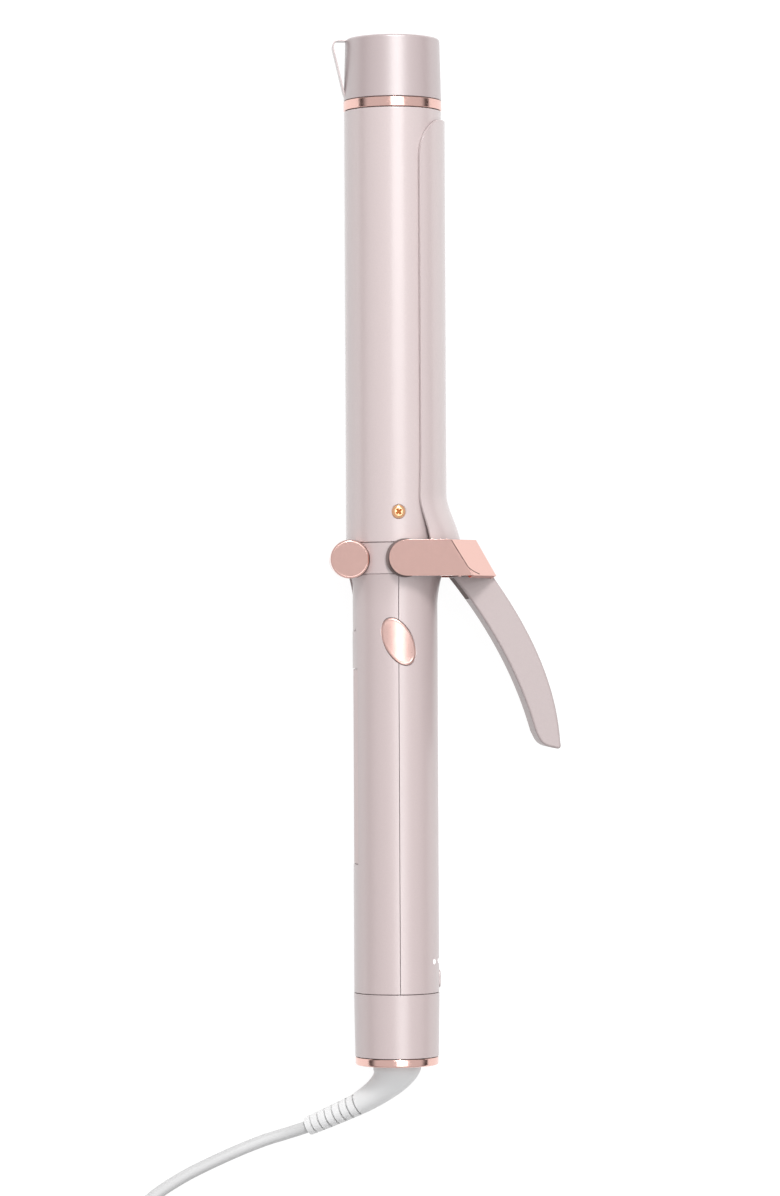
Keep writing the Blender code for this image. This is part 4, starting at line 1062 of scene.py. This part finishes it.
def boot_slots(boot):
    """Cut narrow grooves round the boot's thin end, deeper on its two broad sides."""
    start, end = Vector((13.2e-3, -178.6e-3)), Vector(BOOT_END)
    along = (end - start).normalized()
    normal = Vector((along.y, -along.x))
    count = 7
    for index in range(count):
        centre = start + (end - start) * ((index + 0.2) / count)
        core, outer = 2.75e-3 - 0.07e-3 * index, 6.0e-3
        ring = lathe([(outer, 0.3e-3), (core, 0.3e-3), (core, -0.3e-3), (outer, -0.3e-3)], "Z", sides=40)
        carve(boot, move(ring, Matrix.Translation(boot_point(*centre)) @ boot_turn(*along)))
        for side in (1, -1):
            place = centre + normal * (side * 3.0e-3)
            notch = rod(0.45e-3, -3.0e-3, 3.0e-3, sides=16)
            carve(boot, move(notch, Matrix.Translation(boot_point(*place)) @ boot_turn(0.0, 0.0, 1.0)))


def boot_turn(reach, y, side=0.0):
    """Turns an upright rod into a direction given as for boot_point."""
    heading = boot_point(reach, y, side) - boot_point(0.0, 0.0)
    return heading.to_track_quat("Z", "Y").to_matrix().to_4x4()


# Sections of the plug: place along it, half width and half thickness
PLUG_SECTIONS = [
    (11.4e-3, 7.0e-3, 4.6e-3),
    (12.4e-3, 8.8e-3, 5.4e-3),
    (15.0e-3, 10.2e-3, 5.9e-3),
    (20.0e-3, 10.7e-3, 6.0e-3),
    (30.0e-3, 10.9e-3, 6.0e-3),
    (36.0e-3, 10.6e-3, 5.8e-3),
    (37.6e-3, 9.9e-3, 5.2e-3),
    (38.0e-3, 9.0e-3, 4.6e-3),
]


def make_plug():
    """A plain flat plug along its own X: crowned body, grip ribs, ringed strain relief, two blades."""
    place = Matrix.Translation((-27.5e-3, -274.0e-3, middle("plug_body", 2)))
    turn = place @ Matrix.Rotation(radians(24), 4, "Z")
    rings = []
    for x, wide, thick in PLUG_SECTIONS:
        outline = rounded_rectangle(wide, thick, thick * 0.55, 6)
        rings.append([turn @ Vector((x, a, b)) for a, b in outline])
    body = loft(rings)
    for index in range(5):
        x = 19.0e-3 + 3.0e-3 * index
        for side in (1, -1):
            outline = rounded_rectangle(0.6e-3, 1.6e-3, 0.5e-3, 3)
            carve(body, loft([[turn @ Vector((x + a, side * 11.9e-3 + b, z)) for a, b in outline]
                              for z in (-8.0e-3, 8.0e-3)]))
    soften(body, 0.25e-3, 2, 50.0)
    present(body, "plug_body_moulded", "white_rubber", "plug_body", smooth=45.0)
    profile = []
    for index in range(7):
        x = 0.6e-3 + 1.75e-3 * index
        reach = 2.7e-3 + 0.26e-3 * index
        profile += [(reach, x), (reach + 0.35e-3, x + 0.3e-3), (reach + 0.35e-3, x + 1.1e-3),
                    (reach, x + 1.4e-3)]
    profile = [(0.0, profile[0][1])] + profile + [(0.0, profile[-1][1])]
    relief = lathe(profile, "Z", closed=False, sides=36)
    move(relief, turn @ TURN_TO["X"])
    present(relief, "plug_relief", "white_rubber", None, smooth=50.0)
    blades = []
    for name, side in (("plug_blade_left", 1), ("plug_blade_right", -1)):
        outline = fillet([(36.0e-3, -3.15e-3), (54.9e-3, -3.15e-3), (54.9e-3, 3.15e-3), (36.0e-3, 3.15e-3)],
                         [0, 1.6e-3, 1.6e-3, 0], steps=6)
        blade = loft([[turn @ Vector((x, side * 6.35e-3 + y, z)) for x, z in outline]
                      for y in (-0.75e-3, 0.75e-3)])
        carve(blade, move(rod(1.6e-3, -3.0e-3, 3.0e-3, sides=28), turn
                          @ Matrix.Translation((51.0e-3, side * 6.35e-3, 0.0))
                          @ Matrix.Rotation(radians(90), 4, "X")))
        soften(blade, 0.15e-3, 2, 50.0)
        present(blade, name + "_pin", "plug_metal", name)
        blades.append(blade)
    return [body, relief] + blades


def make_tie():
    """The hook-and-loop strap round the coil, with its free end folded over."""
    low, high = COIL_INNER - CORD_R, COIL_OUTER + CORD_R
    bottom, top = 0.25e-3, COIL_Z0 + 3 * COIL_PITCH + 2 * CORD_R + 0.25e-3
    loop = fillet([(low - 0.35e-3, bottom), (high + 0.25e-3, bottom), (high + 0.25e-3, top),
                   (low - 0.35e-3, top)], 2.6e-3, steps=6)
    loop.append(loop[0])
    tail = [(high - 4.5e-3, top + 0.5e-3), (high - 1.0e-3, top + 0.5e-3), (high + 0.6e-3, top - 0.6e-3),
            (high + 0.75e-3, top - 3.0e-3), (high + 0.75e-3, top - 8.0e-3)]
    pieces = []
    for path in (loop, fillet(tail, [0, 1.0e-3, 1.0e-3, 0, 0], closed=False, steps=4)):
        rows = []
        for radius, z in path:
            row = []
            for share in (-1.0, -0.6, -0.2, 0.2, 0.6, 1.0):
                turn = Matrix.Rotation(radians(60), 2)
                place = turn @ Vector((radius, 4.0e-3 * share))
                row.append(Vector((COIL_CENTRE[0] + place.x, COIL_CENTRE[1] + place.y, z)))
            rows.append(row)
        pieces.append(thicken(sheet(rows), 0.45e-3, 0.0))
    carve(pieces[0], pieces[1], operation="UNION")
    present(pieces[0], "cord_tie_strap", "tie_weave", "cord_tie", smooth=45.0)
    return pieces[0]


# ---- pieces that stay as the CAD made them

CAD_LOOKS = {
    "steel": ["tip_screw", "hinge_stud_front", "hinge_stud_back", "clamp_spring", "handle_screw_upper",
              "handle_screw_lower", "stand_axle", "thermal_fuse", "lever_screw_front", "lever_screw_back"],
    "aluminium": ["heater_block_front", "heater_block_back"],
    "ceramic": ["ceramic_heater", "heater_carrier", "temperature_sensor"],
    "dark_plastic": ["tip_insulator", "brush_holder", "button_switch", "triac"],
    "copper": ["slip_ring"],
    "board": ["circuit_board"],
    "sleeve": ["filter_capacitor"],
    "lead_jacket": ["heater_lead_front", "heater_lead_back"],
    "clear": ["led_light_guide"],
}


def dress_cad_nodes():
    """Give the inner CAD nodes their materials."""
    for look, nodes in CAD_LOOKS.items():
        for node in nodes:
            obj = frame["nodes"][node]
            if not obj.material_slots:
                obj.data.materials.append(LOOKS[look])
            for material_slot in obj.material_slots:
                material_slot.material = LOOKS[look]


# ---- studio

def make_floor():
    """A table that is kept white mostly by its own glow, so its shadows are faint."""
    floor = sheet([[Vector((x, y, -0.05e-3)) for x in (-4.0, 4.0)] for y in (-4.0, 4.0)])
    floor.name = "table_top"
    floor.data.materials.append(new_material("table_white", (0.12, 0.12, 0.12), 0.7, Emission_Strength=0.93,
                                             Emission_Color=WHITE, Specular_IOR_Level=0.0))


def softbox(name, place, look_at, width, length, power):
    """A soft rectangular light, its length along the iron."""
    data = bpy.data.lights.new(name, "AREA")
    data.shape = "RECTANGLE"
    data.size, data.size_y = width, length
    data.energy = power
    place_object(data, place, aim((Vector(place) - Vector(look_at)).normalized()))


def make_studio():
    """Two softboxes overhead, one beyond the tip, a pale dome, and a dim band along the horizon."""
    make_floor()
    softbox("barrel_light", (0.25, 0.77, 2.2), (0.0, 0.2, 0.0), 1.10, 1.20, 13.3)
    softbox("handle_light", (0.36, -0.44, 2.2), (0.0, -0.1, 0.0), 1.10, 0.65, 7.2)
    softbox("far_light", (0.10, 1.75, 2.0), (0.0, 0.0, 0.0), 0.60, 0.60, 50.0)
    world = bpy.data.worlds.new("studio")
    bpy.context.scene.world = world
    world.use_nodes = True
    nodes, links = world.node_tree.nodes, world.node_tree.links
    place = nodes.new("ShaderNodeTexCoord")
    split = nodes.new("ShaderNodeSeparateXYZ")
    ramp = nodes.new("ShaderNodeValToRGB")
    dome = ramp.color_ramp.elements
    dome[0].position, dome[0].color = 0.0, (0.06, 0.05, 0.05, 1.0)
    dome[1].position, dome[1].color = 0.38, (0.74, 0.74, 0.75, 1.0)
    low = dome.new(0.18)
    low.color = (0.08, 0.07, 0.07, 1.0)
    links.new(place.outputs["Generated"], split.inputs["Vector"])
    links.new(split.outputs["Z"], ramp.inputs["Fac"])
    links.new(ramp.outputs["Color"], nodes["Background"].inputs["Color"])
    bpy.context.scene.view_settings.view_transform = "Standard"


# ---- the scene

make_camera()
CORD = make_cord(make_plug() + [make_tie()])
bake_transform(CORD)
for make_piece in (make_barrel, make_barrel_screws, make_tip, make_tip_rest, make_collar, make_stand,
                   make_clamp_plate, make_yoke, make_lever, make_liner, make_handle, make_rating_plate,
                   make_badge, make_lights, make_button, make_handle_end, make_boot):
    make_piece()
dress_cad_nodes()
make_studio()
